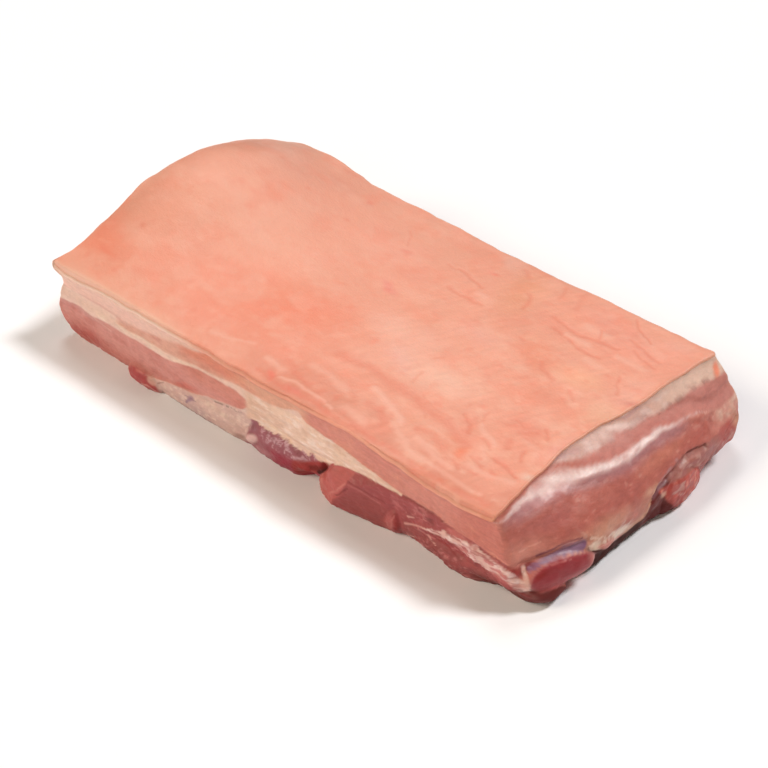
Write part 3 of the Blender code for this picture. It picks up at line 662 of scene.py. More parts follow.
def end_trimmings(paint, y, z, place, low):
    """Silverskin, the lobes and films under the band, and what shows below them."""
    # painted shade: dark below the band's lower edge, where the hollows under the cut end lie in shadow
    below = ease((low - z) / 0.8)
    paint.lay((78, 34, 28), below * span(y, 40, 86, 6), 0.0)
    paint.lay((112, 36, 30), below * span(y, 82, 110, 8), 0.5)
    paint.lay((196, 112, 98), spot(y, z, 53, 13.8, 10, 2.2, 0.6, -17) * 0.95, 0.7)
    paint.lay((222, 150, 134), streak(y, z, ((46, 16), (54, 14.6), (62, 12)), (0.4, 0.5), 1.3) * 0.6, 0.8)
    # corner: silverskin over the dark red lobe
    paint.lay((140, 44, 38), spot(y, z, 6, 21.2, 9.5, 2.8, 0.5) * 0.95, 0.7)
    silver = streak(y, z, ((9, 20.0), (18, 21.4), (28, 22.2), (36, 21.6)), (1.5, 2.3), 0.7)
    paint.lay((150, 110, 132), silver, 0.6)
    paint.lay((146, 82, 104), silver * ease((17 - y) / 6) * 0.8, 0.8)
    paint.lay((142, 92, 122), silver * ease((y - 33) / 5) * 0.8, 0.9)
    # painted highlight: paler patches where the silverskin shines
    paint.lay((182, 150, 170), silver * patches(place, (7, 7, 1.4), 251, -0.1, 1.8) * span(y, 20, 38, 8) * 0.7, 0.7)
    paint.lay((120, 58, 66), streak(y, z, ((14, 24.4), (26, 25.2), (37, 24.6)), (0.5, 0.4), 1.2) * 0.8)
    lens = spot(y, z, 25.5, 12.0, 20.0, 8.2, 0.14, -3)
    paint.lay((156, 54, 58), lens, 0.5)
    paint.lay((140, 38, 36), lens * spot(y, z, 14, 14.5, 9, 3.4) * 0.9, 0.6)
    paint.lay((182, 78, 76), lens * ease((10.0 - z) / 5) * 0.8, 0.7)
    paint.lay((196, 118, 108), lens * ease((y - 37) / 6) * 0.9, 0.6)
    # painted highlight: a pink streak along the top of the lens
    paint.lay((206, 120, 114), streak(y, z, ((20, 17.4), (25, 17.8), (30, 17.0)), (0.6, 0.4), 1.3) * 0.5, 0.8)
    paint.lay((206, 134, 122), lens * bell(np.hypot((y - 25.5) / 20.0, (z - 12.0) / 8.2) - 0.95, 0.05) * 0.5, 0.8)
    # dark lean at the very corner, and the cream tip over it
    under = ease((13.0 - 0.5 * (y - 8) - z) / 2) * (1 - lens) * ease((34 - y) / 3)
    paint.lay((104, 38, 34), under, 0.2)
    tip = streak(y, z, ((-8, 30), (-4, 24), (-1, 17), (5, 12.6)), (1.6, 2.8), 0.7)
    stem = streak(y, z, ((5.6, 21.5), (5.6, 14)), (1.3, 1.8), 0.8)
    paint.lay((220, 166, 148), np.maximum(tip, stem), 0.7)
    paint.lay((238, 196, 178), np.maximum(tip, stem) * patches(place, (2.6, 2.6, 2.2), 261, -0.2, 2.2), 0.9)
    paint.lay((160, 58, 54), spot(y, z, 1.6, 20.4, 2.6, 3.0, 0.6, -20) * 0.85, 0.7)
    paint.lay((104, 50, 42), ease((12 - z) / 3) * span(y, 138, 190, 8) * 0.9, 0.2)
    # further back: dark lobe of painted shade beside the red cut piece, and film
    film = span(y, 104, 172, 5) * ease((low - z) / 1.0)
    paint.lay((174, 104, 92), film, 0.35)
    paint.lay((164, 110, 106), film * spot(y, z, 138, 20, 14, 6) * 0.6, 0.4)
    paint.lay((184, 84, 76), ease((y - 144) / 8) * between(z, 12, 24, 3) * 0.8, 0.5)
    paint.lay((206, 150, 124), spot(y, z, 168, 21, 7, 6) * 0.9, 0.5)
    paint.lay((120, 34, 28), spot(y, z, 143, 13.6, 7, 2.4, 0.7) * 0.9, 0.6)
    # painted shade on the step at the left of the red cut piece, which faces away from the light
    paint.lay((100, 32, 28), span(y, 84, 116, 5) * ease((12.5 - z - 0.12 * (y - 86)) / 2), 0.1)
    chunk = ease((y - 96 - 0.80 * (16 - z)) / 1.6) * ease((20.5 - 0.12 * (y - 100) - z) / 2.0) * ease((139 - y) / 3)
    paint.lay((188, 80, 70), chunk, 0.3)
    # painted shade: the cut piece darker at its left and low end
    paint.lay((152, 42, 32), chunk * ease((104.5 + 0.80 * (16 - z) - y) / 5) * ease((10 - z) / 5) * 0.85, 0.6)
    stripes = layered(place, (3.0, 3.0, 14), 2, 271)
    paint.lay((214, 104, 90), chunk * np.clip(stripes * 1.8, 0, 1) * 0.5, 0.5)
    # painted highlight: small bright wet spots on the red cut piece
    paint.lay((228, 144, 122), chunk * patches(place, (3, 3, 3), 279, -0.6, 2.2) * 0.6, 0.9)
    paint.lay((170, 66, 58), chunk * np.clip(-stripes * 1.6 - 0.2, 0, 1) * 0.6)
    paint.lay((184, 110, 102), chunk * ease((y - 126) / 8) * 0.5)
    paint.lay((154, 102, 106), streak(y, z, ((91.5, 18.6), (95, 21), (101, 22.4)), (1.8, 1.2), 1.2) * 0.85, 0.8)
    paint.lay((218, 164, 136), spot(y, z, 97.6, 15.4, 3.2, 2.6, 0.8) * 0.85, 0.8)
    paint.lay((184, 144, 146), streak(y, z, ((91, 21.8), (98, 24.0), (106, 25.6), (114, 26.6)), (1.3, 0.6), 1.3) * 0.7 * patches(place, (4, 4, 4), 273, 0.5), 0.7)
    paint.lay((134, 74, 70), streak(y, z, ((104, 23.4), (112, 25.2), (122, 26.0), (130, 25.4)), (1.0, 0.5), 1.3) * 0.7)
    paint.lay((176, 104, 100), film * patches(place, (5, 5, 2.4), 275, -0.1, 2.0) * 0.6, 0.5)
    paint.lay((204, 150, 136), film * patches(place, (5, 5, 2.4), 277, -0.6, 2.2) * 0.6, 0.8)


def end_paint(y, z, place):
    """The cut end's layers and trimmings, by where they show on its sloping face."""
    y, z = wandering(y, z, place, 201)
    paint = Paint(y.shape, (188, 102, 88), 0.5)
    low = end_band(paint, y, z, place)
    end_trimmings(paint, y, z, place, low)
    end_top(paint, y, z, place)
    return paint


def hidden_paint(a, z, place, seed):
    """The back and left walls: the same layers as the front, with their own course."""
    wander = 1.4 * layered(place, 26, 2, seed) + 0.6 * layered(place, 4, 2, seed + 5)
    top = curve(((0, 34), (60, 44), (110, 46), (178, 38)), a) if seed > 400 else curve(((0, 40), (60, 37), (160, 36), (320, 35)), a)
    z = z + wander
    paint = Paint(a.shape, (230, 196, 172), 0.3)
    paint.lay((206, 138, 116), between(z, top - 5.5, top, 1.6) * np.clip(0.8 + layered(place, 18, 2, seed + 9), 0, 1))
    paint.lay(CREAM, between(z, top - 10, top - 5.5, 1.6))
    lean = between(z, 9, top - 10, 1.8)
    paint.lay((194, 110, 98), lean, 0.4)
    paint.lay((178, 84, 78), lean * np.clip(layered(place, 14, 2, seed + 13) * 1.3, 0, 1) * 0.8, 0.5)
    paint.lay((226, 190, 168), bell(z - 9.0, 1.4) * np.clip(0.5 + layered(place, 12, 2, seed + 17), 0, 1), 0.5)
    low = ease((8.0 - z) / 2.5)
    paint.lay((158, 74, 74), low, 0.6)
    paint.lay((206, 172, 160), low * np.clip(layered(place, 16, 2, seed + 21) * 2, 0, 1), 0.6)
    return paint


def back_paint(x, z, place):
    return hidden_paint(x, z, place, 301)


def left_paint(y, z, place):
    return hidden_paint(y, z, place, 401)


PAINTS = (front_paint, end_paint, back_paint, left_paint)
# Each wall's paint is scaled to make up for how much light that side gets: painted light and shade.
SIDE_GAIN = ((0.97, 0.985, 1.10), (0.945, 1.0, 1.05), (1.0, 1.0, 1.0), (0.9, 0.95, 1.0))
# A bulge is painted where it lies over the wall's flat face as seen on the slant that shows both walls best.
SLANTS = ((-0.93, -1.0), (0.85, -0.9), (0.0, 0.0), (0.0, 0.0))


def wall_paint(place, weights, flat, reach):
    """The paint of every side that a point belongs to, each counted as its relief is."""
    paint = Paint(reach.shape, CREAM)
    so_far = np.zeros_like(reach)
    for way, weight in enumerate(weights):
        if weight.max() <= 1e-4:
            continue
        slant_a, slant_z = SLANTS[way]
        if way == 1:
            steep = curve(((8, 1.0), (20, 0.92), (32, 0.7), (46, 0.58)), place[..., 2])
            slant_a, slant_z = slant_a * steep, slant_z * steep
        out = reach if way == 1 else reach + (flat[..., 1] * -1 if way == 0 else 0)
        coat = PAINTS[way](flat[..., way % 2] + slant_a * out, place[..., 2] + slant_z * out, place)
        coat.rgb *= SIDE_GAIN[way]
        so_far = so_far + weight
        paint.blend(coat, weight / np.maximum(so_far, 1e-6))
    return paint


# ---------------------------------------------------------------- the skin


def skin_field(x, y):
    side = np.where(x < HUMP["x"], HUMP["left"], HUMP["right"])
    hump = HUMP["high"] * bell(x - HUMP["x"], side) * bell(y - HUMP["y"], HUMP["deep"])
    across = 1 - (2 * y / SKIN_WIDTH - 1) ** 2
    along = 1 - (2 * x / SKIN_LENGTH - 1) ** 4
    return BASE_TOP + hump + CROWN * across * along


def coons(u, v, front, right, back, left):
    """The grid that four boundary lines span; back and left run the same way as front and right."""
    u, v = u[:, None, None], v[None, :, None]
    ruled = (1 - v) * front[:, None] + v * back[:, None] + (1 - u) * left[None] + u * right[None]
    corners = (1 - u) * (1 - v) * front[0] + u * (1 - v) * front[-1] + u * v * back[-1] + (1 - u) * v * back[0]
    return ruled - corners


def edge_blend(u, v, gap_front, gap_right, gap_back, gap_left, reach):
    u, v = u[:, None], v[None, :]
    near_front, near_back = np.exp(-v * SKIN_WIDTH / reach), np.exp(-(1 - v) * SKIN_WIDTH / reach)
    near_left, near_right = np.exp(-u * SKIN_LENGTH / reach), np.exp(-(1 - u) * SKIN_LENGTH / reach)
    spread = gap_front[:, None] * near_front + gap_back[:, None] * near_back
    spread = spread + gap_left[None] * near_left + gap_right[None] * near_right
    corners = gap_front[0] * near_front * near_left + gap_front[-1] * near_front * near_right
    corners = corners + gap_back[0] * near_back * near_left + gap_back[-1] * near_back * near_right
    return spread - corners


# Lines across the skin: half width, strength, and a path in x and y.
FURROWS = (
    (1.6, 0.7, ((174, 146), (184, 143), (194, 139))),
    (2.0, 0.5, ((166, 145), (173, 144))),
    (1.8, 0.6, ((182, 127), (196, 127), (206, 126))),
    (2.4, 0.5, ((199, 172), (206, 167))),
    (1.8, 0.7, ((217, 153), (222, 145), (224, 139))),
    (1.6, 0.5, ((228, 172), (232, 163))),
    (2.5, 0.4, ((240, 172), (244, 160))),
    (1.2, 0.8, ((274, 174), (282, 167), (292, 160))),
    (1.6, 0.6, ((283, 156), (292, 153), (305, 151))),
    (1.4, 0.6, ((290, 148), (300, 146), (306, 144))),
    (1.2, 0.6, ((267, 152), (271, 144))),
    (1.9, 0.7, ((240, 145), (252, 141), (262, 141), (274, 143), (282, 144))),
    (1.9, 0.7, ((246, 136), (256, 134), (266, 130), (280, 130))),
    (1.2, 0.7, ((297, 126), (300, 119), (306, 112))),
    (2.2, 0.6, ((262, 108), (266, 103), (276, 99))),
    (1.4, 0.6, ((287, 99), (293, 92))),
    (1.0, 0.6, ((240, 117), (243, 115))),
    (1.0, 0.5, ((126, 156), (132, 151), (137, 144))),
    (4.2, 0.7, ((180, 42), (200, 45), (218, 43), (236, 41), (250, 39), (262, 36), (276, 31))),
    (1.0, 0.5, ((236, 46), (246, 43), (258, 41))),
    (1.8, 0.4, ((222, 58), (224, 50))),
    (1.5, 0.4, ((221, 72), (223, 76))),
    (1.6, 0.8, ((262, 48), (268, 44), (272, 38))),
    (1.4, 0.5, ((268, 58), (270, 50))),
    (1.2, 0.5, ((244, 37), (250, 34))),
    (3.2, 0.6, ((252, 26), (262, 25), (270, 23))),
    (1.4, 0.7, ((278, 20), (284, 17))),
    (2.2, 0.6, ((290, 48), (294, 42))),
    (1.4, 0.8, ((300, 46), (304, 38))),
    (1.6, 0.9, ((292, 33), (298, 31), (308, 28))),
    (1.4, 0.7, ((284, 27), (292, 25))),
    (1.2, 0.6, ((280, 40), (288, 37))),
    (1.4, 0.8, ((297, 66), (302, 60))),
    (2.0, 0.5, ((282, 62), (290, 60))),
    (1.8, 0.5, ((290, 55), (296, 60))),
    (3.4, 0.6, ((220, 24), (230, 20), (236, 17))),
    (1.8, 0.6, ((204, 17), (206, 14))),
    (2.0, 0.5, ((165, 22), (172, 18))),
    (2.0, 0.8, ((174, 17), (180, 15), (188, 15))),
    (1.2, 0.6, ((199, 9), (204, 9))),
    (2.2, 0.8, ((158, 6), (176, 5), (200, 6), (216, 4))),
    (2.4, 0.7, ((226, 6), (250, 5), (280, 4), (312, 5))),
)
RIDGES = (
    (3.8, 0.7, ((259, 149), (272, 149))),
    (3.0, 0.7, ((256, 136), (270, 136))),
    (2.6, 0.6, ((196, 134), (202, 133))),
    (2.6, 0.4, ((284, 164), (298, 156), (304, 155))),
    (2.2, 0.5, ((275, 125), (287, 124))),
    (2.8, 0.6, ((286, 139), (304, 139))),
    (3.0, 0.9, ((214, 34), (222, 31), (234, 27), (242, 23))),
    (2.6, 0.6, ((240, 20), (248, 16), (254, 12))),
    (3.0, 0.5, ((176, 27), (190, 26), (204, 23))),
    (3.0, 0.6, ((156, 16), (168, 14))),
    (2.0, 0.5, ((116, 13), (130, 15), (142, 20))),
    (1.6, 0.7, ((172, 10), (196, 11), (210, 8))),
    (3.8, 0.5, ((214, 12), (228, 11))),
    (2.6, 0.6, ((256, 19), (270, 16), (282, 14))),
    (2.0, 0.4, ((256, 30), (270, 27))),
    (2.4, 0.7, ((272, 47), (280, 42), (288, 41))),
    (1.8, 0.5, ((284, 34), (289, 30))),
    (2.4, 0.6, ((286, 22), (300, 20), (311, 24))),
    (2.0, 0.5, ((250, 11), (290, 9), (304, 8))),
    (2.6, 0.5, ((296, 52), (304, 50), (308, 42))),
)


def oblique(x, y, degrees, long, fine):
    """Places for noise that runs in short strokes along a direction across the skin."""
    c, s = np.cos(np.radians(degrees)), np.sin(np.radians(degrees))
    return np.stack([(x * c + y * s) / long, (y * c - x * s) / fine, np.zeros_like(x)], -1)


def skin_lines(x, y):
    """How strongly furrows and ridges cross each place on the skin."""
    x = x + 1.3 * layered(np.stack([x, y, np.zeros_like(x)], -1), 10, 3, 501)
    y = y + 1.3 * layered(np.stack([x, y, np.zeros_like(x)], -1), 10, 3, 505)
    furrows, ridges = np.zeros_like(x), np.zeros_like(x)
    for half, strength, path in FURROWS:
        furrows = np.maximum(furrows, strength * streak(x, y, path, half, 1.3))
    for half, strength, path in RIDGES:
        ridges = np.maximum(ridges, strength * streak(x, y, path, half, 1.3))
    return furrows, ridges


def skin_relief(x, y):
    """Folds, veins and soft waves on the skin."""
    place = np.stack([x, y, np.zeros_like(x)], -1)
    furrows, ridges = skin_lines(x, y)
    height = 0.5 * layered(place, 34, 2, 511) + 0.30 * ridges - 0.34 * furrows
    rough = 0.25 + 0.75 * ease((x - 190) / 90) + 0.4 * ease((45 - y) / 40)
    height = height + 0.14 * rough * layered(place, 9, 2, 515) + 0.04 * rough * layered(place, 3, 2, 519)
    strokes = layered(oblique(x, y, 62, 11.0, 2.4), 1.0, 2, 521)
    return height + 0.05 * ease((x - 120) / 60) * strokes


BLUSHES = (
    # broad soft patches of colour: x, y, reach along, reach across, turn, colour, strength
    (60, 96, 56, 38, 0, (249, 173, 148), 0.8),
    (98, 60, 40, 40, 0, (250, 170, 144), 0.5),
    (22, 164, 22, 22, 0, (222, 162, 140), 0.7),
    (10, 136, 20, 26, 0, (216, 142, 116), 0.8),
    (46, 150, 24, 20, 0, (236, 166, 144), 0.5),
    (66, 158, 16, 12, 0, (228, 150, 128), 0.4),
    (134, 134, 34, 20, -10, (247, 172, 152), 0.6),
    (132, 52, 46, 30, 10, (246, 150, 122), 0.85),
    (140, 54, 18, 20, 0, (247, 138, 108), 0.7),
    (98, 34, 34, 16, 0, (249, 158, 132), 0.6),
    (110, 18, 30, 12, 0, (248, 156, 134), 0.5),
    (58, 117, 8, 9, 0, (249, 152, 124), 0.5),
    (60, 40, 26, 12, 20, (247, 156, 130), 0.6),
    (46, 24, 24, 9, 0, (248, 156, 132), 0.5),
    (16, 24, 26, 14, 0, (241, 142, 114), 0.8),
    (6, 34, 12, 14, 0, (238, 136, 108), 0.6),
    (30, 54, 22, 12, 20, (240, 158, 132), 0.5),
    (126, 38, 84, 46, 0, (245, 145, 119), 0.6),
    (170, 170, 26, 10, 0, (238, 156, 132), 0.6),
    (176, 150, 18, 9, -12, (245, 170, 146), 0.5),
    (160, 122, 22, 12, 0, (243, 158, 136), 0.6),
    (157, 104, 11, 4.5, -24, (240, 140, 130), 0.8),
    (188, 157, 5, 3, -10, (240, 132, 112), 0.7),
    (214, 152, 14, 28, 16, (238, 160, 128), 0.8),
    (228, 128, 10, 14, 0, (240, 154, 130), 0.5),
    (190, 172, 12, 6, 0, (240, 178, 160), 0.6),
    (222, 104, 18, 12, 0, (246, 176, 158), 0.7),
    (214, 68, 52, 24, -8, (248, 178, 156), 0.9),
    (236, 60, 26, 11, -12, (249, 190, 168), 0.85),
    (188, 80, 24, 11, 0, (250, 184, 164), 0.75),
    (206, 62, 16, 8, -20, (247, 186, 172), 0.5),
    (256, 110, 18, 12, -30, (242, 148, 120), 0.85),
    (282, 86, 24, 13, 0, (240, 152, 127), 0.85),
    (288, 60, 16, 10, 0, (241, 152, 130), 0.6),
    (284, 109, 18, 10, 0, (252, 181, 151), 0.9),
    (243, 121, 7, 5, 0, (248, 175, 148), 0.6),
    (309, 118, 10, 20, 0, (247, 176, 158), 0.6),
    (310, 94, 12, 13, 0, (243, 180, 152), 0.7),
    (312, 58, 8, 18, 0, (248, 172, 156), 0.7),
    (290, 150, 34, 20, 0, (247, 156, 138), 0.5),
    (266, 162, 24, 14, 0, (245, 154, 136), 0.5),
    (306, 168, 14, 10, 0, (242, 168, 152), 0.5),
    (250, 142, 18, 9, 0, (243, 150, 128), 0.5),
    (262, 26, 26, 7, -8, (237, 152, 122), 0.5),
    (278, 24, 5, 5.5, 30, (247, 134, 100), 0.85),
    # painted shade: the darker strip along the front edge towards the right, where the skin rolls down away from the
    # light
    (280, 6, 70, 17, 0, (228, 142, 118), 0.9),
    (196, 8, 64, 22, 0, (224, 140, 116), 0.9),
    (316, 14, 8, 12, 0, (226, 140, 118), 0.6),
    (166, 7, 5, 3.5, -40, (240, 118, 98), 0.8),
    (185, 6, 6, 2.6, -10, (240, 126, 112), 0.7),
    (314, 31, 5, 3, 0, (242, 200, 182), 0.7),
    (314, 108, 6, 3.5, -16, (220, 134, 122), 0.8),
    (90, 159, 3.2, 2.6, 0, (240, 140, 118), 0.7),
    (95, 137, 3, 2.6, 30, (240, 138, 116), 0.5),
    (64, 135, 2.4, 3.6, 0, (242, 148, 122), 0.5),
    (140, 137, 5, 3, 20, (242, 140, 122), 0.6),
    (146, 63, 4, 3, 0, (240, 130, 104), 0.5),
    (24, 44, 3, 2.4, 0, (228, 134, 110), 0.6),
    (22, 20, 9, 2.6, 8, (242, 132, 106), 0.6),
    (184, 64, 4, 5, 30, (247, 150, 126), 0.6),
)


def skin_paint(x, y):
    """Salmon skin: greyer at the left and far sides, coral and cream patches, creases towards the right."""
    place = np.stack([x, y, np.zeros_like(x)], -1)
    warp_x = x + 3.0 * layered(place, 16, 3, 621)
    warp_y = y + 3.0 * layered(place, 16, 3, 625)
    paint = Paint(x.shape, (244, 166, 142), 0.4)
    # painted shade: darker towards the left end, where the hump turns away from the light
    paint.lay((226, 152, 128), ease((34 - warp_x) / 34) * ease((y - 20) / 30) * 0.9)
    paint.lay((235, 162, 139), ease((warp_y - 136) / 40) * ease((250 - x) / 60) * 0.8)
    for centre_x, centre_y, along, across, turn, colour, strength in BLUSHES:
        paint.lay(colour, spot(warp_x, warp_y, centre_x, centre_y, along * 1.25, across * 1.25, 1.0, turn) * strength)
    # soft mottling everywhere, livelier towards the right and the front
    lively = 0.35 + 0.65 * ease((x - 180) / 90) * ease((150 - y) / 60) + 0.3 * ease((45 - y) / 40)
    paint.lay((247, 146, 120), np.clip(layered(place, (15, 11, 9), 3, 611) * 1.4 - 0.1, 0, 1) * 0.30)
    paint.lay((249, 182, 160), np.clip(layered(place, (17, 12, 9), 3, 615) * 1.4 - 0.1, 0, 1) * 0.30)
    paint.lay((238, 132, 110), np.clip(layered(place, (6, 4.5, 5), 3, 631) * 1.5 - 0.5, 0, 1) * 0.35 * lively)
    paint.lay((251, 188, 164), np.clip(layered(place, (8, 5, 5), 3, 641) * 1.5 - 0.4, 0, 1) * 0.40 * lively)
    strokes = layered(oblique(x, y, 62, 11.0, 2.2), 1.0, 3, 651)
    paint.shade(1 + 0.035 * ease((x - 130) / 80) * strokes)
    furrows, ridges = skin_lines(x, y)
    # painted highlight on the ridges and painted shade in the furrows, over their relief
    paint.lay((250, 183, 162), ridges * 0.95)
    paint.lay((235, 136, 112), furrows * 0.75)
    # edges
    paint.lay((246, 178, 154), ease((9 - y) / 9) * ease((125 - x) / 40) * ease((x + 2) / 12) * 0.9)
    paint.lay((250, 202, 180), ease((3.4 - y) / 2.2) * ease((118 - x) / 40) * 0.5)
    paint.lay((226, 140, 116), ease((y - 172) / 8) * 0.3)
    return paint


def side_shares(cells):
    """Shares of a side, bunched a little towards its corners."""
    t = np.linspace(0, 1, cells + 1)
    return t - 0.06 * np.sin(2 * np.pi * t) / (2 * np.pi) * 2


def skin_edge(side, shares, inset, drop):
    """A line round the skin: inset from its edge and dropped below it."""
    z = edge_height(side, shares)
    low, high = np.zeros((len(shares), 2)), np.broadcast_to((SKIN_LENGTH, SKIN_WIDTH), (len(shares), 2))
    radii = [np.full(len(shares), top) for top in CORNER_TOP]
    flat, out = ring_point(side, shares, low, high, radii)
    line = np.concatenate([flat - out * inset, (z - drop)[:, None]], -1)
    return line + edge_shift(side, flat, out)


# ---------------------------------------------------------------- building meshes

ORIGIN = np.array([*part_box("belly_slab")[0]][:2]) * 1000 - np.array(SOLID_LOW)


class Shell:
    """Gathers points with their paint, and faces with their places in the bake, into one mesh."""

    def __init__(self):
        self.points, self.rgb, self.wet, self.count = [], [], [], 0
        self.corners, self.uv, self.sizes = [], [], []

    def add_points(self, points, paint):
        index = np.arange(self.count, self.count + points[..., 0].size).reshape(points.shape[:-1])
        self.count += index.size
        self.points.append(points.reshape(-1, 3))
        self.rgb.append(paint.rgb.reshape(-1, 3))
        self.wet.append(paint.wet.reshape(-1))
        return index

    def add_faces(self, corners, uv):
        self.corners.append(corners.reshape(-1))
        self.uv.append(uv.reshape(-1, 2))
        self.sizes.append(np.full(len(corners), corners.shape[1]))

    def add_grid(self, index, uv):
        """Quads over a grid of point numbers; uv is a grid of the same size."""
        pick = lambda g: np.stack([g[:-1, :-1], g[1:, :-1], g[1:, 1:], g[:-1, 1:]], 2)
        self.add_faces(pick(index).reshape(-1, 4), pick(uv).reshape(-1, 4, 2))

    def close_ring(self, ring, paint_of, level, uv_box, upwards):
        """Closes a ring with smaller and coarser rings towards its middle line."""
        points = np.concatenate(self.points)[ring]
        low, high = points[:, :2].min(0), points[:, :2].max(0)
        half = (high - low) / 2
        middle = (low + high) / 2
        core = np.array([half[0] - half[1] * 0.9, half[1] * 0.02])
        line = ring
        place = points
        for share, sunk in ((0.012, 0.0), (0.03, 0.14), (0.07, 0.45), (0.15, 0.8), (0.4, 1.0), (1.0, 1.0)):
            if len(line) % 2 == 0 and len(line) > 130:
                fewer = place[::2]
            else:
                fewer = place
            start = points[np.linspace(0, len(points), len(fewer), endpoint=False).astype(int)]
            target = middle + np.clip(start[:, :2] - middle, -core, core)
            height = start[:, 2:] * (1 - sunk) + level * sunk
            inner = np.concatenate([start[:, :2] * (1 - share) + target * share, height], 1)
            inner_line = self.add_points(inner, paint_of(inner[:, 0], inner[:, 1]))
            u = lambda p: uv_box[:2] + (p[:, :2] - low) / (high - low) * (np.array(uv_box[2:]) - uv_box[:2])
            outer_uv, inner_uv = u(place), u(inner)
            nxt, inxt = np.roll(line, -1), np.roll(inner_line, -1)
            ouv_n, iuv_n = np.roll(outer_uv, -1, 0), np.roll(inner_uv, -1, 0)
            if len(inner_line) == len(line):
                quads = np.stack([line, nxt, inxt, inner_line], 1)
                quv = np.stack([outer_uv, ouv_n, iuv_n, inner_uv], 1)
                self.add_faces(quads if upwards else quads[:, ::-1], quv if upwards else quv[:, ::-1])
            else:
                a, b, c = line[0::2], line[1::2], np.roll(line, -2)[0::2]
                ua, ub, uc = outer_uv[0::2], outer_uv[1::2], np.roll(outer_uv, -2, 0)[0::2]
                for tri, tuv in (
                    ((a, b, inner_line), (ua, ub, inner_uv)),
                    ((b, inxt, inner_line), (ub, iuv_n, inner_uv)),
                    ((b, c, inxt), (ub, uc, iuv_n)),
                ):
                    t, w = np.stack(tri, 1), np.stack(tuv, 1)
                    self.add_faces(t if upwards else t[:, ::-1], w if upwards else w[:, ::-1])
            line, place = inner_line, inner
        cap = line[None, :] if upwards else line[None, ::-1]
        cap_uv = u(place)[None] if upwards else u(place)[None, ::-1]
        self.add_faces(cap, cap_uv)

    def build(self, name, material):
        points = np.concatenate(self.points)
        points = (points + np.array([*ORIGIN, 0.0])) / 1000.0
        sizes = np.concatenate(self.sizes)
        mesh = bpy.data.meshes.new(name)
        mesh.vertices.add(len(points))
        mesh.vertices.foreach_set("co", points.astype(np.float32).ravel())
        corners = np.concatenate(self.corners)
        mesh.loops.add(len(corners))
        mesh.loops.foreach_set("vertex_index", corners.astype(np.int32))
        mesh.polygons.add(len(sizes))
        mesh.polygons.foreach_set("loop_start", np.concatenate([[0], np.cumsum(sizes)[:-1]]).astype(np.int32))
        mesh.polygons.foreach_set("use_smooth", np.ones(len(sizes), bool))
        layer = mesh.uv_layers.new(name="OFBake")
        layer.data.foreach_set("uv", np.concatenate(self.uv).astype(np.float32).ravel())
        rgba = np.concatenate([np.concatenate(self.rgb), np.ones((len(points), 1))], 1)
        paint = mesh.attributes.new("paint", "FLOAT_COLOR", "POINT")
        paint.data.foreach_set("color", np.clip(rgba, 0, 1).astype(np.float32).ravel())
        wet = mesh.attributes.new("wet", "FLOAT", "POINT")
        wet.data.foreach_set("value", np.clip(np.concatenate(self.wet), 0, 1).astype(np.float32))
        mesh.update()
        mesh.validate()
        mesh.materials.append(material)
        piece = bpy.data.objects.new(name, mesh)
        bpy.context.scene.collection.objects.link(piece)
        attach(piece, "root")
        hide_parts("belly_slab")
        return piece


# ---------------------------------------------------------------- materials


class Nodes:
    """Short names for making a material's nodes."""

    def __init__(self, name):
        self.material = bpy.data.materials.new(name)
        self.material.use_nodes = True
        self.tree = self.material.node_tree
        self.shader = self.tree.nodes["Principled BSDF"]

    def new(self, kind, **values):
        node = self.tree.nodes.new(kind)
        for key, value in values.items():
            setattr(node, key, value)
        return node

    def link(self, source, target):
        self.tree.links.new(source, target)

    def number(self, operation, a, b=0.0, c=0.0, clamp=False):
        node = self.new("ShaderNodeMath", operation=operation, use_clamp=clamp)
        for socket, value in zip(node.inputs, (a, b, c)):
            if isinstance(value, (int, float)):
                socket.default_value = value
            else:
                self.link(value, socket)
        return node.outputs[0]

    def spread(self, value, low, high, to_low, to_high):
        node = self.new("ShaderNodeMapRange")
        self.link(value, node.inputs["Value"])
        for key, number in zip(("From Min", "From Max", "To Min", "To Max"), (low, high, to_low, to_high)):
            node.inputs[key].default_value = number
        return node.outputs["Result"]

    def noise(self, scale, detail=3.0, rough=0.5, stretch=None, turn=0.0):
        coordinates = self.new("ShaderNodeTexCoord").outputs["Object"]
        if stretch is not None:
            mapping = self.new("ShaderNodeMapping")
            mapping.inputs["Scale"].default_value = stretch
            mapping.inputs["Rotation"].default_value = (0.0, 0.0, turn)
            self.link(coordinates, mapping.inputs["Vector"])
            coordinates = mapping.outputs["Vector"]
        node = self.new("ShaderNodeTexNoise")
        node.inputs["Scale"].default_value = scale
        node.inputs["Detail"].default_value = detail
        node.inputs["Roughness"].default_value = rough
        self.link(coordinates, node.inputs["Vector"])
        return node.outputs["Fac"]

    def mix(self, factor, a, b, blend="MIX"):
        node = self.new("ShaderNodeMix", data_type="RGBA", blend_type=blend)
        for socket, value in zip((node.inputs[0], node.inputs[6], node.inputs[7]), (factor, a, b)):
            if isinstance(value, (int, float, tuple)):
                socket.default_value = value
            else:
                self.link(value, socket)
        return node.outputs[2]

    def bump(self, height, strength, distance, normal=None):
        node = self.new("ShaderNodeBump")
        node.inputs["Strength"].default_value = strength
        node.inputs["Distance"].default_value = distance
        self.link(height, node.inputs["Height"])
        if normal is not None:
            self.link(normal, node.inputs["Normal"])
        return node.outputs["Normal"]

    def grey(self, value):
        """A grey of this brightness, for multiplying a colour."""
        node = self.new("ShaderNodeCombineColor")
        for socket in node.inputs:
            self.link(value, socket)
        return node.outputs[0]

    def attribute(self, name, socket):
        return self.new("ShaderNodeAttribute", attribute_name=name).outputs[socket]


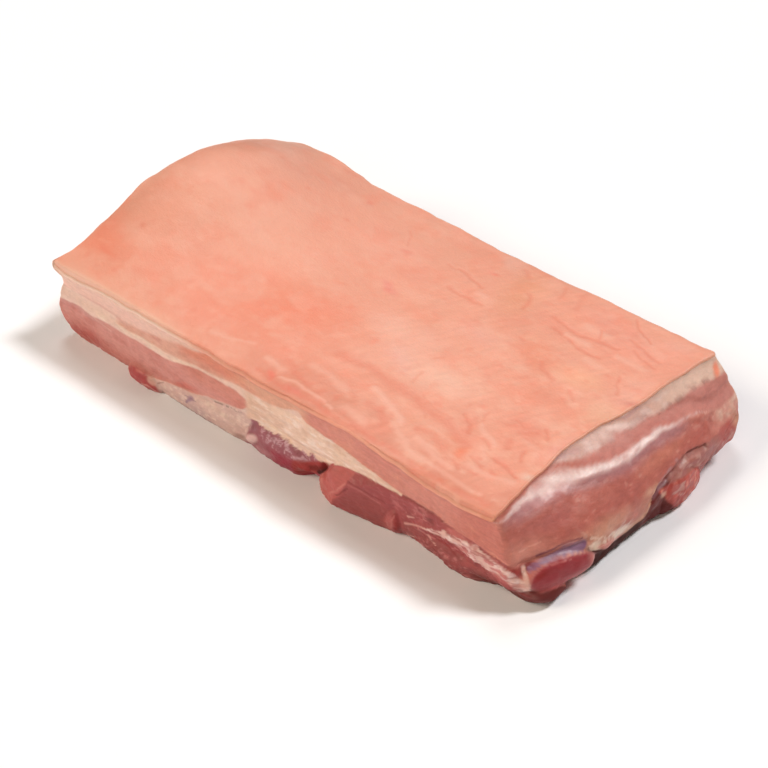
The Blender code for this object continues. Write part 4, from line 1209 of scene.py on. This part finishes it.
def skin_material():
    n = Nodes("belly_skin")
    paint = n.attribute("paint", "Color")
    cloud = n.noise(70, 4, 0.6)
    grain = n.noise(900, 3, 0.6)
    hairs = n.noise(60, 2, 0.5, (5.0, 34.0, 8.0), 0.7)
    tone = n.number("ADD", n.spread(cloud, 0.25, 0.75, 0.975, 1.025), n.spread(grain, 0.2, 0.8, -0.025, 0.025))
    shaded = n.mix(1.0, paint, n.grey(tone), "MULTIPLY")
    fine = n.spread(hairs, 0.66, 0.76, 0.0, 0.16)
    colour = n.mix(fine, shaded, (0.95, 0.52, 0.40, 1.0))
    n.link(colour, n.shader.inputs["Base Color"])
    n.link(n.spread(cloud, 0.3, 0.7, 0.50, 0.40), n.shader.inputs["Roughness"])
    pores = n.bump(grain, 0.25, 0.0005)
    soft = n.bump(n.noise(260, 3, 0.55), 0.22, 0.0012, pores)
    lines = n.bump(hairs, 0.12, 0.0008, soft)
    n.link(lines, n.shader.inputs["Normal"])
    n.shader.inputs["Subsurface Weight"].default_value = 0.12
    n.shader.inputs["Subsurface Radius"].default_value = (1.0, 0.4, 0.25)
    n.shader.inputs["Subsurface Scale"].default_value = 0.004
    n.shader.inputs["Specular IOR Level"].default_value = 0.4
    return n.material


def flesh_material():
    n = Nodes("belly_flesh")
    paint = n.attribute("paint", "Color")
    wet = n.attribute("wet", "Fac")
    fibre = n.noise(260, 4, 0.6, (1.0, 1.0, 3.2))
    grain = n.noise(1100, 3, 0.6)
    tone = n.number("ADD", n.spread(fibre, 0.25, 0.75, 0.90, 1.10), n.spread(grain, 0.2, 0.8, -0.06, 0.06))
    n.link(n.mix(1.0, paint, n.grey(tone), "MULTIPLY"), n.shader.inputs["Base Color"])
    patchy = n.spread(n.noise(150, 3, 0.6), 0.3, 0.7, -0.08, 0.08)
    n.link(n.number("ADD", n.spread(wet, 0.0, 1.0, 0.66, 0.34), patchy, clamp=True), n.shader.inputs["Roughness"])
    n.link(n.spread(wet, 0.0, 1.0, 0.15, 0.5), n.shader.inputs["Specular IOR Level"])
    body = n.bump(fibre, 0.24, 0.0012)
    n.link(n.bump(grain, 0.2, 0.0005, body), n.shader.inputs["Normal"])
    n.shader.inputs["Subsurface Weight"].default_value = 0.12
    n.shader.inputs["Subsurface Radius"].default_value = (1.0, 0.35, 0.2)
    n.shader.inputs["Subsurface Scale"].default_value = 0.003
    n.link(n.spread(wet, 0.4, 1.0, 0.0, 0.2), n.shader.inputs["Coat Weight"])
    n.shader.inputs["Coat Roughness"].default_value = 0.24
    return n.material


# ---------------------------------------------------------------- pieces


def make_rind(material):
    """The skin: its whole top, a rounded cut edge, and a hidden underside."""
    shell = Shell()
    shares = tuple(side_shares(cells) for cells in SKIN_CELLS)
    edges = [skin_edge(side, shares[side % 2], LIP_ROUND, 0.0) for side in range(4)]
    front, right, back, left = edges[0], edges[1], edges[2][::-1], edges[3][::-1]
    grid = coons(shares[0], shares[1], front, right, back, left)
    gaps = [edge[:, 2] - skin_field(edge[:, 0], edge[:, 1]) for edge in (front, right, back, left)]
    spread = edge_blend(shares[0], shares[1], *gaps, 11.0)
    x, y = grid[..., 0], grid[..., 1]
    inward = ease(np.minimum(np.minimum(x, SKIN_LENGTH - x), np.minimum(y, SKIN_WIDTH - y)) / 6)
    grid[..., 2] = skin_field(x, y) + spread + inward * skin_relief(x, y)
    paint = skin_paint(x, y)
    paint.rgb *= SKIN_GAIN
    index = shell.add_points(grid, paint)
    scale = np.array([SKIN_LENGTH + 4, SKIN_LENGTH + 4])
    shell.add_grid(index, 0.006 + 0.988 * (grid[..., :2] + 2) / scale)
    ring = np.concatenate([index[:-1, 0], index[-1, :-1], index[:0:-1, -1], index[0, :0:-1]])
    rim_paint = Paint((len(ring),), (244, 160, 132))
    rim_paint.rgb = np.concatenate(shell.rgb)[ring]
    previous, lines = ring, []
    for row, (inset, drop, warm) in enumerate(
        ((0.28 * LIP_ROUND, 0.3, 0.4), (0.0, LIP_ROUND, 0.8), (0.1, RIND, 1.0), (0.5, RIND + 0.2, 1.0), (1.2, RIND + 0.3, 1.0))
    ):
        line = np.concatenate([skin_edge(side, shares[side % 2][:-1], inset, drop) for side in range(4)])
        coat = Paint((len(line),), (244, 160, 132))
        coat.rgb = rim_paint.rgb.copy()
        x, y = line[:, 0], line[:, 1]
        at_front = ease((3 - y) / 2)
        coat.lay((244, 206, 194), at_front * ease((140 - x) / 50))
        coat.lay((236, 162, 140), at_front * ease((x - 130) / 40) * (1 if row < 2 else 0) * 0.8)
        # painted shade: a dark line on the lip's underside along the right half of the front, under the skin's
        # overhang
        coat.lay((208, 122, 100), at_front * ease((x - 150) / 20) * (1 if row > 1 else 0) * 0.7)
        # orange-brown on the lip at the front half of the cut end: partly the rind's own edge colour, partly painted
        # shade under the skin's overhang
        coat.lay((208, 128, 96), ease((x - SKIN_LENGTH + 9) / 3) * ease((60 - y) / 24) * warm * 0.9)
        coat.lay((222, 160, 130), ease((x - SKIN_LENGTH + 9) / 3) * ease((y - 40) / 20) * warm * 0.8)
        coat.lay((238, 186, 160), (ease((y - SKIN_WIDTH + 3) / 2) + ease((3 - x) / 2)) * warm * 0.7)
        now = shell.add_points(line, coat)
        u = np.arange(len(line) + 1) / len(line) * 3.9
        strip = lambda k, row=row: np.stack([0.006 + 0.988 * (u % 1.0), 0.62 + 0.02 * np.floor(u) + 0.0035 * k], -1)
        around = np.stack([np.append(previous, previous[0]), np.append(now, now[0])], 1)
        lip_uv = np.stack([strip(row), strip(row + 1)], 1)
        whole = np.floor(u[:-1]) == np.floor(u[1:])
        quads = np.stack([around[:-1, 0], around[:-1, 1], around[1:, 1], around[1:, 0]], 1)
        uv = np.stack([lip_uv[:-1, 0], lip_uv[:-1, 1], lip_uv[1:, 1], lip_uv[1:, 0]], 1)
        uv[~whole, 2:, 0] = 0.994
        uv[~whole, 2:, 1] = uv[~whole, :2, 1][:, ::-1]
        shell.add_faces(quads, uv)
        previous = now
    under = lambda x, y: Paint(x.shape, (232, 196, 172))
    shell.close_ring(previous, under, 39.0, (0.02, 0.72, 0.48, 0.97), False)
    return shell.build("rind", material)


def make_flesh(material):
    """Fat and lean: the four walls in one closed body, with its seat on the table."""
    shell = Shell()
    drops = np.linspace(0, 1, WALL_ROWS + 1)
    grids, strips = [], []
    heights = (0.25, 0.25, 0.25, 0.25)
    for side in range(4):
        shares = side_shares(WALL_CELLS[side])
        place, weights, flat, reach = wall_grid(side, shares, drops)
        paint = wall_paint(place, weights, flat, reach)
        if side < 3:
            keep = slice(0, -1)
        else:
            keep = slice(0, -1)
        part = Paint(reach[keep].shape, CREAM)
        part.rgb, part.wet = paint.rgb[keep], paint.wet[keep]
        grids.append(shell.add_points(place[keep], part))
        v = 0.005 + 0.25 * side + 0.235 * drops
        u = 0.005 + 0.99 * np.arange(len(shares)) / (len(shares) - 1)
        strips.append(np.stack(np.broadcast_arrays(u[:, None], v[None, :]), -1))
    for side in range(4):
        after = grids[(side + 1) % 4][:1]
        index = np.concatenate([grids[side], after])
        shell.add_grid(index[:, ::-1], strips[side][:, ::-1])
    whole = np.concatenate(grids)
    under = lambda x, y: seat_paint(x, y)
    shell.close_ring(whole[:, -1], under, 0.0, (0.01, 0.01, 0.2, 0.2), False)
    plain = lambda x, y: Paint(x.shape, (232, 196, 172))
    shell.close_ring(whole[:, 0], plain, 40.5, (0.01, 0.01, 0.02, 0.02), True)
    return shell.build("flesh", material)


def seat_paint(x, y):
    """The underside: lean in long bundles with films of fat between them."""
    place = np.stack([x, y, np.zeros_like(x)], -1)
    paint = Paint(x.shape, (168, 84, 78), 0.5)
    paint.lay((222, 186, 166), np.clip(layered(place, (60, 16, 9), 3, 801) * 2 - 0.3, 0, 1), 0.4)
    return paint


def make_table():
    mesh = bpy.data.meshes.new("table")
    size = 4.0
    mesh.from_pydata([(-size, -size, 0), (size, -size, 0), (size, size, 0), (-size, size, 0)], [], [(0, 1, 2, 3)])
    table = bpy.data.objects.new("table", mesh)
    table.location.z = -0.0002
    n = Nodes("table_white")
    n.shader.inputs["Base Color"].default_value = (0.925, 0.934, 0.995, 1)
    n.shader.inputs["Roughness"].default_value = 0.9
    n.shader.inputs["Specular IOR Level"].default_value = 0.1
    mesh.materials.append(n.material)
    bpy.context.scene.collection.objects.link(table)


def to_world(point):
    """From the slab's own frame, in millimetres, to the scene's metres."""
    return (np.asarray(point, float) + np.array([*ORIGIN, 0.0])) / 1000.0


CAMERA_PLACE = (669.3, -448.2, 543.3)
CAMERA_ELEVATION, CAMERA_AZIMUTH = 36.6, 42.97
CAMERA_LENS = 77.5


def make_camera():
    camera = bpy.data.cameras.new("camera")
    camera.lens = CAMERA_LENS
    camera.sensor_width = 36.0
    camera.clip_end = 20.0
    thing = bpy.data.objects.new("camera", camera)
    e, a = np.radians(CAMERA_ELEVATION), np.radians(CAMERA_AZIMUTH)
    forward = Vector((-np.sin(a) * np.cos(e), np.cos(a) * np.cos(e), -np.sin(e)))
    thing.matrix_world = Matrix.Translation(to_world(CAMERA_PLACE)) @ forward.to_track_quat("-Z", "Y").to_matrix().to_4x4()
    bpy.context.scene.collection.objects.link(thing)
    bpy.context.scene.camera = thing


COOL, WARM = (1.0, 0.985, 0.95), (1.0, 0.87, 0.68)
LIGHTS = (
    # name, azimuth from the slab's x axis, elevation, width in degrees, share of the light on the table, colour
    ("back_right", 62, 54, 14, 0.555, COOL),
    ("back_left", 140, 56, 18, 0.18, COOL),
    ("front_left", 238, 37, 28, 0.30, WARM),
    ("front_right", 292, 36, 28, 0.11, WARM),
)


def make_lights():
    """Soft lights all round, the strongest behind the slab, so that its shadow falls to the front."""
    for name, azimuth, elevation, width, share, colour in LIGHTS:
        light = bpy.data.lights.new(name, "SUN")
        a, e = np.radians(azimuth), np.radians(elevation)
        light.angle = np.radians(width)
        light.energy = share * np.pi / np.sin(e)
        light.color = colour
        lamp = bpy.data.objects.new(name, light)
        direction = Vector((np.cos(a) * np.cos(e), np.sin(a) * np.cos(e), np.sin(e)))
        lamp.rotation_mode = "QUATERNION"
        lamp.rotation_quaternion = direction.to_track_quat("Z", "Y")
        bpy.context.scene.collection.objects.link(lamp)
    world = bpy.data.worlds.new("studio")
    world.use_nodes = True
    world.node_tree.nodes["Background"].inputs["Color"].default_value = (1.0, 1.0, 1.0, 1)
    world.node_tree.nodes["Background"].inputs["Strength"].default_value = 0.03
    scene = bpy.context.scene
    scene.world = world
    scene.view_settings.view_transform = "Standard"
    scene.view_settings.look = "None"


make_camera()
make_lights()
make_table()
make_rind(skin_material())
make_flesh(flesh_material())
